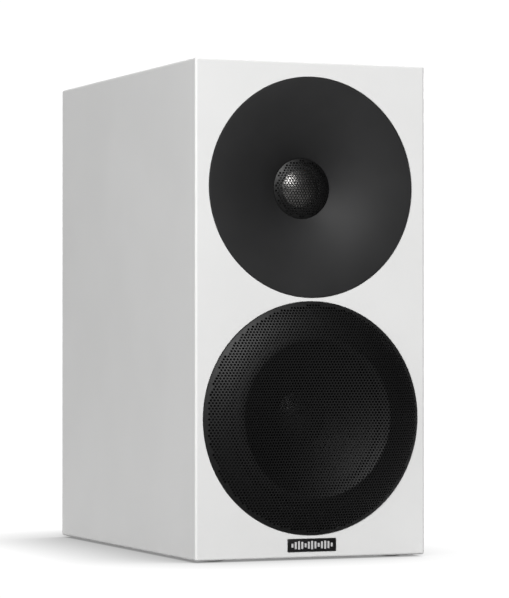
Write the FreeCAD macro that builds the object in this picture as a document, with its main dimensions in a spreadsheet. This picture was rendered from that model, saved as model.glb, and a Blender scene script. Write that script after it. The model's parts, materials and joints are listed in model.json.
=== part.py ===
"""Two-way bookshelf speaker with a lacquered cabinet, as a parametric document.

Millimetres. +Z is up, the front faces -Y, and the origin is the centre of the base of the whole object.
Depths run from the front of the baffle into the cabinet. The driving dimensions are cells of the sheet
"Sizes"; PLACES holds what follows from them, and every feature is bound to those words.
"""

import FreeCAD, Part
import math
import os
import re
import Sketcher

SIZES = (
    # Cabinet
    ("cabinet_width", 161.0),
    ("cabinet_height", 320.0),
    ("cabinet_depth", 265.0),
    ("baffle_thickness", 22.0),
    ("back_thickness", 18.0),
    ("wall_thickness", 15.0),
    ("edge_round", 1.5),
    ("brace_thickness", 12.0),
    ("brace_rim", 17.0),
    ("brace_above_woofer", 70.0),
    ("glue_line", 0.02),
    ("foot_height", 1.2),
    ("foot_radius", 8.0),
    ("foot_inset", 18.0),
    ("damping_thickness", 8.0),
    ("damping_margin", 12.0),
    ("soft_gap", 0.3),
    ("badge_width", 34.0),
    ("badge_height", 8.4),
    ("badge_thickness", 1.0),
    ("badge_base", 4.1),
    ("badge_round", 0.8),
    # Woofer and its grille
    ("grille_radius", 75.25),
    ("grille_base", 14.75),
    ("grille_rise", 10.3),
    ("shoulder_width", 24.25),
    ("grille_bowl", 9.0),
    ("grille_sheet", 0.8),
    ("rim_front", 0.5),
    ("rim_back", 0.3),
    ("rim_gap", 0.3),
    ("rim_width", 1.4),
    ("crease_fold", 0.2),
    ("shoulder_inset", 11.25),
    ("shoulder_rise", 8.0),
    ("seat_gap", 0.3),
    ("flange_thickness", 4.5),
    ("gasket_thickness", 1.0),
    ("gasket_margin", 2.1),
    ("flange_width", 15.45),
    ("frame_gap", 1.0),
    ("frame_wall", 2.7),
    ("frame_shoulder", 12.0),
    ("frame_taper", 13.5),
    ("frame_waist", 32.0),
    ("frame_depth", 43.0),
    ("frame_floor", 3.0),
    ("frame_bore", 16.0),
    ("spoke_count", 6),
    ("window_angle", 42.0),
    ("lip_width", 3.3),
    ("lip_thickness", 0.8),
    ("glue_gap", 0.1),
    ("roll_radius", 4.6),
    ("cone_overlap", 0.5),
    ("cone_depth", 19.0),
    ("cone_sheet", 0.8),
    ("cap_radius", 17.5),
    ("cap_height", 5.7),
    ("former_radius", 13.0),
    ("former_sheet", 0.3),
    ("coil_thickness", 0.85),
    ("coil_length", 12.0),
    ("gap_clearance", 0.6),
    ("spider_margin", 4.0),
    ("spider_sheet", 0.6),
    ("spider_wave", 1.0),
    ("spider_ledge", 30.5),
    ("ledge_width", 6.0),
    ("front_plate_step", 7.0),
    ("front_plate", 5.0),
    ("magnet_step", 1.0),
    ("magnet_bore", 19.0),
    ("magnet_length", 15.0),
    ("yoke_plate", 5.0),
    ("yoke_step", 2.0),
    ("pole_vent", 4.0),
    ("screw_edge", 7.55),
    ("screw_count", 4),
    ("screw_head", 3.2),
    ("screw_head_depth", 2.2),
    ("screw_shank", 1.9),
    ("screw_reach", 15.0),
    ("screw_clearance", 0.05),
    ("keeper_radius", 3.0),
    ("keeper_depth", 1.8),
    ("tab_width", 4.8),
    ("tab_sheet", 0.8),
    ("tab_reach", 7.0),
    ("tab_spread", 5.0),
    ("strip_sheet", 2.0),
    ("strip_height", 20.0),
    ("tinsel_radius", 0.5),
    # Tweeter and its waveguide
    ("circle_gap", 2.45),
    ("waveguide_radius", 71.2),
    ("waveguide_lip", 3.5),
    ("waveguide_seat", 57.0),
    ("waveguide_gap", 1.5),
    ("waveguide_depth", 17.0),
    ("flare_radius", 40.0),
    ("flare_depth", 5.9),
    ("throat_radius", 19.8),
    ("throat_land", 3.0),
    ("boss_radius", 37.0),
    ("mesh_gap", 0.25),
    ("mesh_sheet", 0.6),
    ("mesh_rise", 5.2),
    ("plate_sheet", 2.5),
    ("plate_bore", 15.8),
    ("dome_radius", 12.5),
    ("dome_sheet", 0.25),
    ("dome_rise", 4.3),
    ("dome_roll", 1.5),
    ("dome_lip", 1.8),
    ("tweeter_former", 0.5),
    ("tweeter_coil_length", 5.6),
    ("tweeter_clearance", 0.5),
    ("tweeter_plate", 4.0),
    ("tweeter_plate_radius", 30.5),
    ("tweeter_magnet_radius", 30.0),
    ("tweeter_magnet_bore", 16.5),
    ("tweeter_magnet_length", 9.0),
    ("tweeter_yoke", 4.0),
    ("tweeter_yoke_radius", 28.0),
    ("tweeter_vent", 3.0),
    ("cup_radius", 25.0),
    ("cup_length", 18.0),
    ("cup_wall", 2.0),
    ("tweeter_screw_circle", 34.0),
    ("small_head", 2.5),
    ("small_shank", 1.4),
    ("small_reach", 6.0),
    # Port and terminals
    ("port_radius", 20.5),
    ("port_wall", 2.5),
    ("port_length", 118.0),
    ("port_flare", 11.0),
    ("port_flange", 36.0),
    ("port_lip", 2.0),
    ("port_height", 246.0),
    ("plate_width", 76.0),
    ("plate_height", 76.0),
    ("plate_face", 3.0),
    ("plate_round", 6.0),
    ("cup_cutout", 30.0),
    ("terminal_height", 92.0),
    ("plate_boss_radius", 26.0),
    ("plate_boss_depth", 4.0),
    ("post_spread", 9.5),
    ("post_reach", 24.5),
    ("stud_radius", 3.0),
    ("stud_inside", 16.0),
    ("socket_radius", 2.0),
    ("socket_depth", 19.0),
    ("wire_hole", 1.5),
    ("collar_radius", 7.2),
    ("collar_height", 3.0),
    ("washer_radius", 6.2),
    ("washer_sheet", 1.0),
    ("nut_radius", 7.0),
    ("nut_length", 15.0),
    ("nut_skirt", 1.2),
    ("thread_clearance", 0.06),
    ("running_gap", 0.1),
    ("hex_radius", 5.0),
    ("hex_height", 3.5),
    ("lug_radius", 5.0),
    ("lug_sheet", 0.8),
    ("lug_length", 10.0),
    # Crossover
    ("board_width", 104.0),
    ("board_depth", 88.0),
    ("board_sheet", 1.6),
    ("board_start", 100.0),
    ("standoff_height", 6.0),
    ("standoff_radius", 3.5),
    ("standoff_inset", 6.0),
    ("air_coil_radius", 19.0),
    ("air_coil_bore", 9.0),
    ("air_coil_height", 16.0),
    ("iron_core_width", 34.0),
    ("iron_core_depth", 14.0),
    ("iron_core_height", 30.0),
    ("iron_coil_radius", 14.0),
    ("iron_coil_length", 20.0),
    ("capacitor_radius", 8.0),
    ("capacitor_length", 34.0),
    ("resistor_length", 25.0),
    ("resistor_side", 9.0),
    ("part_gap", 0.1),
    ("lead_radius", 1.1),
    ("lead_space", 6.5),
)

PLACES = {
    # Front of the baffle, so that the box of the whole object is centred on the origin.
    "front_line": "0 - (cabinet_depth + post_reach - grille_rise) / 2",
    "half_width": "cabinet_width / 2",
    "half_inside": "half_width - wall_thickness",
    "top_line": "foot_height + cabinet_height",
    "back_line": "cabinet_depth - back_thickness",
    "woofer_line": "foot_height + grille_base + grille_radius",
    "tweeter_line": "woofer_line + grille_radius + circle_gap + waveguide_radius",
    "port_line": "foot_height + port_height",
    "terminal_line": "foot_height + terminal_height",
    "brace_line": "woofer_line + brace_above_woofer",
    "inside_depth": "back_line - baffle_thickness",
    "inside_height": "cabinet_height - 2 * wall_thickness",
    # Woofer
    "grille_crease": "grille_radius - shoulder_width",
    "grille_shoulder": "grille_radius - shoulder_inset",
    "flange_radius": "grille_radius - rim_gap",
    "woofer_screw_circle": "flange_radius - screw_edge",
    "frame_radius": "flange_radius - flange_width",
    "frame_back_radius": "frame_radius - frame_taper",
    "spider_radius": "frame_back_radius - spider_margin",
    "ledge_radius": "spider_radius - ledge_width",
    "magnet_radius": "frame_back_radius - magnet_step",
    "front_plate_radius": "magnet_radius - front_plate_step",
    "yoke_radius": "magnet_radius - yoke_step",
    "cone_radius": "roll_inner - cone_overlap",
    "flange_front": "rim_back + seat_gap",
    "flange_back": "flange_front + flange_thickness",
    "rebate_depth": "flange_back + gasket_thickness",
    "rebate_radius": "grille_radius + rim_gap",
    "cutout_radius": "frame_radius + frame_gap",
    "lip_front": "flange_front + 0.2",
    "lip_back": "lip_front + lip_thickness",
    "ledge_front": "lip_back + glue_gap",
    "frame_inner": "frame_radius - frame_wall",
    "lip_outer": "frame_inner + lip_width",
    "roll_outer": "frame_inner - 0.2",
    "roll_inner": "roll_outer - 2 * roll_radius",
    "cone_front": "lip_back + glue_gap",
    "neck_front": "cone_front + cone_depth",
    "neck_radius": "former_radius + former_sheet + glue_gap",
    "cone_slope": "cone_depth / (cone_radius - neck_radius)",
    "cap_front": "cone_front + (cone_radius - cap_radius) * cone_slope - glue_gap - cone_sheet",
    "former_outer": "former_radius + former_sheet",
    "coil_radius": "former_outer + coil_thickness",
    "coil_back": "frame_depth + front_plate / 2 + coil_length / 2",
    "front_plate_bore": "coil_radius + gap_clearance",
    "pole_radius": "former_radius - gap_clearance",
    "magnet_front": "frame_depth + front_plate",
    "magnet_back": "magnet_front + magnet_length",
    "woofer_back": "magnet_back + yoke_plate",
    "spider_middle": "spider_ledge - glue_gap - spider_sheet / 2 - spider_wave",
    # Tweeter
    "throat_back": "waveguide_depth + throat_land",
    "plate_back": "throat_back + plate_sheet",
    "recess_radius": "waveguide_radius + rim_gap",
    "waveguide_cutout": "waveguide_seat + waveguide_gap",
    "mesh_radius": "throat_radius - mesh_gap",
    "mesh_front": "waveguide_depth - mesh_rise",
    "dome_base": "throat_back - glue_gap - dome_sheet",
    "dome_front": "dome_base - dome_rise",
    "tweeter_coil_front": "throat_back - glue_gap",
    "tweeter_gap_radius": "dome_radius + tweeter_former / 2 + tweeter_clearance",
    "tweeter_pole": "dome_radius - tweeter_former / 2 - tweeter_clearance",
    "tweeter_magnet_front": "plate_back + tweeter_plate",
    "tweeter_magnet_back": "tweeter_magnet_front + tweeter_magnet_length",
    "cup_front": "tweeter_magnet_back + tweeter_yoke",
    # Terminals
    "plate_front": "cabinet_depth",
    "plate_out": "cabinet_depth + plate_face",
    "post_end": "cabinet_depth + post_reach",
    "collar_out": "plate_out + collar_height",
    "washer_out": "collar_out + running_gap + washer_sheet",
    "nut_start": "washer_out + running_gap",
    "boss_front": "cabinet_depth - plate_boss_depth",
    "hex_front": "boss_front - hex_height",
    "lug_front": "hex_front - lug_sheet - glue_line",
    # Crossover
    "floor_line": "foot_height + wall_thickness",
    "board_line": "floor_line + standoff_height",
    "board_top": "board_line + board_sheet",
    "part_line": "board_top + part_gap",
    "lead_line": "half_inside - brace_rim - lead_space",
}

FRONT = "front_line"
MIDDLE = "0"
QUARTER_TURN = 90.0

doc = FreeCAD.newDocument("bookshelf_speaker")
sheet = doc.addObject("Spreadsheet::Sheet", "Sizes")
aliases = {name for name, number in SIZES}
pieces = {}


def fill_sheet():
    """One row per driving dimension: its word and its number."""
    for row, (name, number) in enumerate(SIZES, 1):
        sheet.set(f"A{row}", name)
        sheet.set(f"B{row}", str(number))
        sheet.setAlias(f"B{row}", name)
    doc.recompute()


def full(expression):
    """The expression with its derived words written out and the others pointed at the sheet."""

    def swap(match):
        word = match.group(0)
        if word in PLACES:
            return "(" + full(PLACES[word]) + ")"
        return "Sizes." + word if word in aliases else word

    return re.sub(r"[a-z][a-z_0-9]*", swap, str(expression))


def value(expression):
    return float(sheet.evalExpression(full(expression)))


def bind(item, prop, expression):
    item.setExpression(prop, full(expression))


def place(item, x, y, z):
    """Binds where the item stands."""
    for axis, expression in zip("xyz", (x, y, z)):
        bind(item, "Placement.Base." + axis, expression)


def new_body(name, x=MIDDLE, y=FRONT, z=MIDDLE):
    body = doc.addObject("PartDesign::Body", name)
    body.Label = name
    body.AllowCompound = True
    place(body, x, y, z)
    pieces[name] = body
    return body


def origin_item(body, role):
    return next(item for item in body.Origin.OriginFeatures if item.Role == role)


def new_sketch(body, plane, offset=None):
    sketch = body.newObject("Sketcher::SketchObject", body.Label + "_sketch")
    sketch.AttachmentSupport = [(origin_item(body, plane), "")]
    sketch.MapMode = "FlatFace"
    if offset is not None:
        bind(sketch, "AttachmentOffset.Base.z", offset)
    return sketch


def fix(sketch, item, end, x, y):
    """Holds one point of a sketch at bound distances from its origin."""
    for kind, expression in (("DistanceX", x), ("DistanceY", y)):
        rule = Sketcher.Constraint(kind, -1, 1, item, end, value(expression))
        index = sketch.addConstraint(rule)
        if full(expression) != str(expression):
            sketch.setExpression(f"Constraints[{index}]", full(expression))


def nearest_end(sketch, item, spot):
    gaps = [(sketch.getPoint(item, end) - spot).Length for end in (1, 2)]
    return 1 if gaps[0] < gaps[1] else 2


def draw_outline(sketch, points):
    """A closed outline. A point with a third entry is one that the arc between its neighbours passes."""
    spots = [FreeCAD.Vector(value(point[0]), value(point[1]), 0) for point in points]
    count = len(points)
    edges = []
    for index, point in enumerate(points):
        if len(point) == 3:
            continue
        after = (index + 1) % count
        if len(points[after]) == 3:
            end = (after + 1) % count
            item = sketch.addGeometry(Part.Arc(spots[index], spots[after], spots[end]), False)
            passed = sketch.addGeometry(Part.Point(spots[after]), True)
            fix(sketch, passed, 1, *points[after][:2])
            sketch.addConstraint(Sketcher.Constraint("PointOnObject", passed, 1, item))
        else:
            end = after
            item = sketch.addGeometry(Part.LineSegment(spots[index], spots[end]), False)
        edges.append((item, index, end))
    for order, (item, start, end) in enumerate(edges):
        follower = edges[(order + 1) % len(edges)][0]
        fix(sketch, item, nearest_end(sketch, item, spots[start]), *points[start])
        here = nearest_end(sketch, item, spots[end])
        there = nearest_end(sketch, follower, spots[end])
        sketch.addConstraint(Sketcher.Constraint("Coincident", item, here, follower, there))


def draw_circle(sketch, x, y, radius):
    centre = FreeCAD.Vector(value(x), value(y), 0)
    item = sketch.addGeometry(Part.Circle(centre, FreeCAD.Vector(0, 0, 1), value(radius)), False)
    fix(sketch, item, 3, x, y)
    index = sketch.addConstraint(Sketcher.Constraint("Radius", item, value(radius)))
    sketch.setExpression(f"Constraints[{index}]", full(radius))


def draw(sketch, shapes):
    """Each shape is a circle, as a tuple of centre and radius, or an outline, as a list of points."""
    for shape in shapes:
        if isinstance(shape, tuple):
            draw_circle(sketch, *shape)
        else:
            draw_outline(sketch, shape)


def rectangle(left, low, right, high):
    return [(left, low), (right, low), (right, high), (left, high)]


def grow(body, shapes, start, length, plane="XZ_Plane"):
    """Pads the shapes from start by length along the plane's positive axis."""
    flipped = plane == "XZ_Plane"
    sketch = new_sketch(body, plane, f"0 - ({start})" if flipped else start)
    draw(sketch, shapes)
    pad = body.newObject("PartDesign::Pad", body.Label + "_pad")
    pad.Profile = sketch
    pad.Reversed = flipped
    bind(pad, "Length", length)
    return pad


def carve(body, shapes, start, length, plane="XZ_Plane"):
    """Cuts the shapes out from start by length along the plane's positive axis, and makes sure it did."""
    doc.recompute()
    before = body.Shape.Volume
    flipped = plane == "XZ_Plane"
    sketch = new_sketch(body, plane, f"0 - ({start})" if flipped else start)
    draw(sketch, shapes)
    pocket = body.newObject("PartDesign::Pocket", body.Label + "_pocket")
    pocket.Profile = sketch
    pocket.Reversed = not flipped
    bind(pocket, "Length", length)
    doc.recompute()
    if body.Shape.Volume >= before:
        raise RuntimeError(f"a pocket of {body.Label} cuts nothing")
    return pocket


def soften(body, radius, chosen):
    """Rounds the edges of the body that the test picks."""
    doc.recompute()
    base = body.Tip
    names = [f"Edge{n}" for n, edge in enumerate(base.Shape.Edges, 1) if chosen(edge)]
    rounding = body.newObject("PartDesign::Fillet", body.Label + "_round")
    rounding.Base = (base, names)
    bind(rounding, "Radius", radius)


def repeat(body, feature, count, axis="Y_Axis"):
    """Repeats a feature evenly around an axis of its body."""
    pattern = body.newObject("PartDesign::PolarPattern", body.Label + "_pattern")
    pattern.Originals = [feature]
    pattern.Axis = (origin_item(body, axis), [""])
    pattern.Angle = 360
    bind(pattern, "Occurrences", count)
    body.Tip = pattern


def turned(name, z, points, x=MIDDLE, y=FRONT, plane="XY_Plane"):
    """A body turned about the second axis of the plane: Y on the XY plane and Z on the XZ plane."""
    body = new_body(name, x, y, z)
    sketch = new_sketch(body, plane)
    draw_outline(sketch, points)
    spin = body.newObject("PartDesign::Revolution", name + "_turn")
    spin.Profile = sketch
    spin.ReferenceAxis = (sketch, ["V_Axis"])
    spin.Angle = 360
    return body


def ring(name, z, bore, radius, start, end):
    return turned(name, z, rectangle(bore, start, radius, end))


def screw_circle(name, z, circle, count, turn, head, head_start, head_end, shank, shank_end):
    """Screws set evenly on a circle, each a head and a shank along Y."""
    body = new_body(name, MIDDLE, FRONT, z)
    body.Placement = FreeCAD.Placement(body.Placement.Base, FreeCAD.Rotation(FreeCAD.Vector(0, 1, 0), turn))
    for radius, start, end in ((head, head_start, head_end), (shank, head_end, shank_end)):
        low, high = (start, end) if value(start) < value(end) else (end, start)
        feature = grow(body, [(circle, MIDDLE, radius)], low, f"({high}) - ({low})")
        repeat(body, feature, count)
    return body


def bulge(radius, rise):
    """How far a spherical cap has fallen from its apex at half its radius."""
    ball = f"((({radius}) * ({radius}) + ({rise}) * ({rise})) / (2 * ({rise})))"
    return f"({ball} - sqrt({ball} * {ball} - ({radius}) * ({radius}) / 4))"


def block(name, x, y, z, width, depth, height):
    """A plain rectangular piece with its lowest left front corner at the given place."""
    box = doc.addObject("Part::Box", name)
    box.Label = name
    for prop, expression in (("Length", width), ("Width", depth), ("Height", height)):
        bind(box, prop, expression)
    place(box, x, y, z)
    pieces[name] = box
    return box


def smooth_path(points, radii_share=0.45):
    """Straight runs joined by tangent arcs, each as large as its two runs allow."""
    spots = [FreeCAD.Vector(*point) for point in points]
    edges = []
    here = spots[0]
    for before, corner, after in zip(spots, spots[1:], spots[2:]):
        into, out = corner - before, after - corner
        cut = radii_share * min(into.Length, out.Length)
        into.normalize()
        out.normalize()
        start, end = corner - into * cut, corner + out * cut
        half = into.getAngle(out) / 2
        radius = cut / math.tan(half)
        inward = (out - into).normalize()
        middle = corner + inward * (radius / math.cos(half) - radius)
        edges.append(Part.LineSegment(here, start).toShape())
        edges.append(Part.Arc(start, middle, end).toShape())
        here = end
    edges.append(Part.LineSegment(here, spots[-1]).toShape())
    return Part.Wire(edges)


def strand(points, radius):
    """A round lead along a smooth path."""
    path = smooth_path(points)
    along = FreeCAD.Vector(*points[1]) - FreeCAD.Vector(*points[0])
    end = Part.Wire(Part.Circle(FreeCAD.Vector(*points[0]), along, radius).toShape())
    lead = path.makePipeShell([end], True, False)
    expected = math.pi * radius**2 * path.Length
    if abs(lead.Volume - expected) > 0.02 * expected:
        raise RuntimeError("a lead lost its volume")
    return lead


def leads(name, routes, radius, extras=()):
    """Insulated leads along hand-set routes, in the cabinet's own frame."""
    feature = doc.addObject("Part::Feature", name)
    feature.Label = name
    feature.Shape = Part.makeCompound([strand(route, value(radius)) for route in routes] + list(extras))
    feature.Placement = FreeCAD.Placement(FreeCAD.Vector(0, value(FRONT), 0), FreeCAD.Rotation())
    pieces[name] = feature


def at(x, depth, z):
    """A place as numbers, from three expressions."""
    return (value(x), value(depth), value(z))


def runs_along_y(edge):
    return abs(edge.tangentAt(edge.FirstParameter).y) > 0.999


# Cabinet


def baffle():
    """Front board with the stepped seats of both drivers."""
    body = new_body("front_baffle", MIDDLE, FRONT, "foot_height")
    woofer, tweeter = "woofer_line - foot_height", "tweeter_line - foot_height"
    grow(body, [rectangle("0 - half_width", "0", "half_width", "cabinet_height")], "0", "baffle_thickness")

    def outer(edge):
        box = edge.BoundBox
        front = box.YMax < 1e-6
        return (front or runs_along_y(edge)) and edge.Length > 1

    soften(body, "edge_round", outer)
    carve(body, [(MIDDLE, woofer, "rebate_radius")], "0", "rebate_depth")
    carve(body, [(MIDDLE, woofer, "cutout_radius")], "0", "baffle_thickness")
    carve(body, [(MIDDLE, tweeter, "recess_radius")], "0", "waveguide_lip")
    carve(body, [(MIDDLE, tweeter, "waveguide_cutout")], "0", "baffle_thickness")
    side = f"woofer_screw_circle * {math.sqrt(0.5)}"
    spots = [(f"{sx} * {side}", f"{woofer} + {sz} * {side}") for sx in (-1, 1) for sz in (-1, 1)]
    pilots = [(x, z, "screw_shank + screw_clearance") for x, z in spots]
    carve(body, pilots, "0", "flange_front + screw_head_depth + screw_reach")
    badge = rectangle("0 - badge_width / 2 - part_gap", "badge_base - part_gap",
                      "badge_width / 2 + part_gap", "badge_base + badge_height + part_gap")
    carve(body, [badge], "0", "badge_thickness / 2")


def back_panel():
    """Rear board with the holes of the port and the terminal plate."""
    body = new_body("back_panel", MIDDLE, f"{FRONT} + back_line", "foot_height")
    grow(body, [rectangle("0 - half_width", "0", "half_width", "cabinet_height")], "0", "back_thickness")
    rear = value("back_thickness")

    def outer(edge):
        return edge.BoundBox.YMin > rear - 1e-6 or runs_along_y(edge)

    soften(body, "edge_round", outer)
    port = "port_line - foot_height"
    terminals = "terminal_line - foot_height"
    flange = "port_flange + soft_gap"
    carve(body, [(MIDDLE, port, "port_radius + port_wall + soft_gap")], "0", "back_thickness")
    carve(body, [(MIDDLE, port, flange)], "back_thickness - port_flare", "port_flare")
    carve(body, [(MIDDLE, terminals, "cup_cutout")], "0", "back_thickness")
    reach = "back_thickness - small_reach"
    carve(body, [(x, f"{z} - foot_height", "small_shank + screw_clearance") for x, z in plate_corners()],
          reach, "small_reach")


def side_panel(name, sign):
    """One side board, rounded along its two outer edges."""
    inner, outer_side = f"{sign} * half_inside", f"{sign} * half_width"
    left, right = sorted((inner, outer_side), key=value)
    body = new_body(name, MIDDLE, f"{FRONT} + baffle_thickness", "foot_height")
    grow(body, [rectangle(left, "0", right, "cabinet_height")], "0", "inside_depth")
    edge_x = value(outer_side)

    def outer(edge):
        return runs_along_y(edge) and abs(edge.CenterOfMass.x - edge_x) < 1e-6

    soften(body, "edge_round", outer)


def level_panel(name, z):
    """Top or bottom board, held between the sides."""
    start = f"{FRONT} + baffle_thickness"
    block(name, "0 - half_inside", start, z, "2 * half_inside", "inside_depth", "wall_thickness")


def window_brace():
    """Shelf between the drivers that ties the four walls, open in the middle."""
    body = new_body("window_brace", MIDDLE, f"{FRONT} + baffle_thickness", "brace_line")
    side, rim = "half_inside - glue_line", "brace_rim"
    grow(body, [rectangle(f"0 - ({side})", "glue_line", side, "inside_depth - glue_line")],
         "0", "brace_thickness", "XY_Plane")
    window = rectangle(f"{rim} - half_inside", rim, f"half_inside - {rim}", f"inside_depth - {rim}")
    carve(body, [window], "0", "brace_thickness", "XY_Plane")


def damping(name, sign):
    """Wadding sheet on one side wall, below the brace and behind the woofer."""
    left = "soft_gap - half_inside" if sign < 0 else "half_inside - soft_gap - damping_thickness"
    start = f"{FRONT} + woofer_back + damping_margin"
    depth = "back_line - woofer_back - 2 * damping_margin"
    low = "board_top + 2 * damping_margin"
    block(name, left, start, low, "damping_thickness", depth, f"brace_line - damping_margin - ({low})")


def feet():
    """Four thin rubber pads under the corners."""
    body = new_body("feet", MIDDLE, FRONT, MIDDLE)
    across = "half_width - foot_inset"
    spots = [(f"{sign} * ({across})", y) for sign in (-1, 1) for y in ("foot_inset", "cabinet_depth - foot_inset")]
    grow(body, [(x, y, "foot_radius") for x, y in spots], "0", "foot_height", "XY_Plane")


def badge():
    """Small plain plate let into the foot of the baffle."""
    body = new_body("badge", MIDDLE, f"{FRONT} - badge_thickness / 2", "foot_height + badge_base")
    grow(body, [rectangle("0 - badge_width / 2", "0", "badge_width / 2", "badge_height")],
         "0", "badge_thickness")
    soften(body, "badge_round", runs_along_y)


# Woofer


def woofer_grille():
    """Pressed sheet dish: a convex shoulder, a sharp crease and a shallow bowl."""
    crease, middle = "0 - grille_rise", "grille_bowl - grille_rise"
    halfway = "grille_crease / 2"
    inner_rise = "grille_bowl - crease_fold"
    turned("woofer_grille", "woofer_line", [
        ("0", middle),
        (halfway, f"{middle} - {bulge('grille_crease', 'grille_bowl')}", "via"),
        ("grille_crease", crease),
        ("grille_shoulder", "0 - shoulder_rise", "via"),
        ("grille_radius", "0 - rim_front"),
        ("grille_radius", "rim_back"),
        ("grille_radius - rim_width", "rim_back"),
        ("grille_shoulder - crease_fold", "grille_sheet - shoulder_rise + crease_fold", "via"),
        ("grille_crease", f"{crease} + grille_sheet + crease_fold"),
        (halfway, f"{middle} + grille_sheet - {bulge('grille_crease', inner_rise)}", "via"),
        ("0", f"{middle} + grille_sheet"),
    ])


def woofer_basket():
    """Cast frame: mounting flange, spokes, ledge for the suspension and floor for the motor."""
    body = turned("woofer_basket", "woofer_line", [
        ("lip_outer + glue_gap", "flange_front"),
        ("flange_radius", "flange_front"),
        ("flange_radius", "flange_back"),
        ("frame_radius", "flange_back"),
        ("frame_radius", "frame_shoulder"),
        ("frame_back_radius", "frame_waist"),
        ("frame_back_radius", "frame_depth"),
        ("frame_bore", "frame_depth"),
        ("frame_bore", "frame_depth - frame_floor"),
        ("ledge_radius", "frame_depth - frame_floor"),
        ("ledge_radius", "spider_ledge"),
        ("spider_radius + 0.5", "spider_ledge"),
        ("frame_inner", "frame_shoulder - 1"),
        ("frame_inner", "ledge_front"),
        ("lip_outer + glue_gap", "ledge_front"),
    ])
    doc.recompute()
    before = body.Shape.Volume
    sketch = new_sketch(body, "XY_Plane")
    draw(sketch, [rectangle("ledge_radius", "frame_shoulder + 3", "frame_radius + 2", "spider_ledge - 2.5")])
    window = body.newObject("PartDesign::Groove", "woofer_basket_window")
    window.Profile = sketch
    window.ReferenceAxis = (sketch, ["V_Axis"])
    window.Midplane = True
    bind(window, "Angle", "window_angle")
    repeat(body, window, "spoke_count")
    side = f"woofer_screw_circle * {math.sqrt(0.5)}"
    spots = [(f"{sx} * {side}", f"{sz} * {side}") for sx in (-1, 1) for sz in (-1, 1)]
    carve(body, [(x, z, "screw_shank + screw_clearance") for x, z in spots], "0", "flange_back + 1")
    carve(body, [(x, z, "screw_head + screw_clearance") for x, z in spots],
          "flange_front", "screw_head_depth + screw_clearance")
    keepers = [("woofer_screw_circle", "0"), ("0 - woofer_screw_circle", "0"),
               ("0", "woofer_screw_circle"), ("0", "0 - woofer_screw_circle")]
    carve(body, [(x, z, "keeper_radius + screw_clearance") for x, z in keepers],
          "flange_front", "keeper_depth")
    if body.Shape.Volume >= before:
        raise RuntimeError("the basket's windows cut nothing")


def grille_magnets():
    """Four button magnets in the flange that hold the grille."""
    body = new_body("grille_magnets", MIDDLE, FRONT, "woofer_line")
    spots = (("woofer_screw_circle", "0"), ("0 - woofer_screw_circle", "0"),
             ("0", "woofer_screw_circle"), ("0", "0 - woofer_screw_circle"))
    grow(body, [(x, z, "keeper_radius") for x, z in spots], "flange_front", "keeper_depth")


def woofer_surround():
    """Half-roll rubber edge between the cone and the frame."""
    middle = "(roll_outer + roll_inner) / 2"
    turned("woofer_surround", "woofer_line", [
        ("roll_inner - 1.4", "lip_front"),
        ("roll_inner", "lip_front"),
        (middle, "lip_front - roll_radius", "via"),
        ("roll_outer", "lip_front"),
        ("lip_outer", "lip_front"),
        ("lip_outer", "lip_back"),
        ("roll_outer - lip_thickness", "lip_back"),
        (middle, "lip_back - roll_radius + 0.1", "via"),
        ("roll_inner + lip_thickness", "lip_back"),
        ("roll_inner - 1.4", "lip_back"),
    ])


def woofer_cone():
    turned("woofer_cone", "woofer_line", [
        ("cone_radius", "cone_front"),
        ("neck_radius", "neck_front"),
        ("neck_radius", "neck_front + cone_sheet"),
        ("cone_radius", "cone_front + cone_sheet"),
    ])


def woofer_dust_cap():
    apex = "cap_front - cap_height"
    turned("woofer_dust_cap", "woofer_line", [
        ("0", apex),
        ("cap_radius / 2", f"{apex} + {bulge('cap_radius', 'cap_height')}", "via"),
        ("cap_radius", "cap_front"),
        ("cap_radius", "cap_front + cone_sheet"),
        ("cap_radius / 2", f"{apex} + cone_sheet + {bulge('cap_radius', 'cap_height')}", "via"),
        ("0", f"{apex} + cone_sheet"),
    ])


def woofer_spider():
    """Corrugated centring disc, with waves between two flat lips."""
    front, back = [], []
    waves = 10
    inner, outer = "former_outer + glue_gap", "spider_radius"
    for step in range(waves + 1):
        radius = f"({inner}) + 2 + (({outer}) - ({inner}) - 5) * {step / waves}"
        shift = "0 - spider_wave" if step % 2 else "spider_wave"
        front.append((radius, f"spider_middle - spider_sheet / 2 + {shift}"))
        back.append((radius, f"spider_middle + spider_sheet / 2 + {shift}"))
    ends = [(f"{outer} + 0", "spider_middle - spider_sheet / 2 + spider_wave"),
            (f"{outer} + 0", "spider_middle + spider_sheet / 2 + spider_wave")]
    starts = [(inner, "spider_middle + spider_sheet / 2 + spider_wave"),
              (inner, "spider_middle - spider_sheet / 2 + spider_wave")]
    turned("woofer_spider", "woofer_line", front + ends + back[::-1] + starts)


def woofer_motor():
    """Voice coil on its former, front plate, ferrite ring and T-shaped yoke."""
    z = "woofer_line"
    ring("woofer_former", z, "former_radius", "former_outer", "neck_front - 0.5", "coil_back")
    ring("woofer_voice_coil", z, "former_outer + glue_line", "coil_radius", "coil_back - coil_length", "coil_back")
    ring("woofer_front_plate", z, "front_plate_bore", "front_plate_radius", "frame_depth", "magnet_front")
    ring("woofer_magnet", z, "magnet_bore", "magnet_radius", "magnet_front", "magnet_back")
    turned("woofer_yoke", z, [
        ("pole_vent", "frame_depth - 1"),
        ("pole_radius", "frame_depth - 1"),
        ("pole_radius", "magnet_back"),
        ("yoke_radius", "magnet_back"),
        ("yoke_radius", "woofer_back"),
        ("pole_vent", "woofer_back"),
    ])


def woofer_gasket():
    outer = "woofer_screw_circle - screw_shank - gasket_margin"
    ring("woofer_gasket", "woofer_line", "cutout_radius + 0.5", outer, "flange_back", "rebate_depth")


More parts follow.
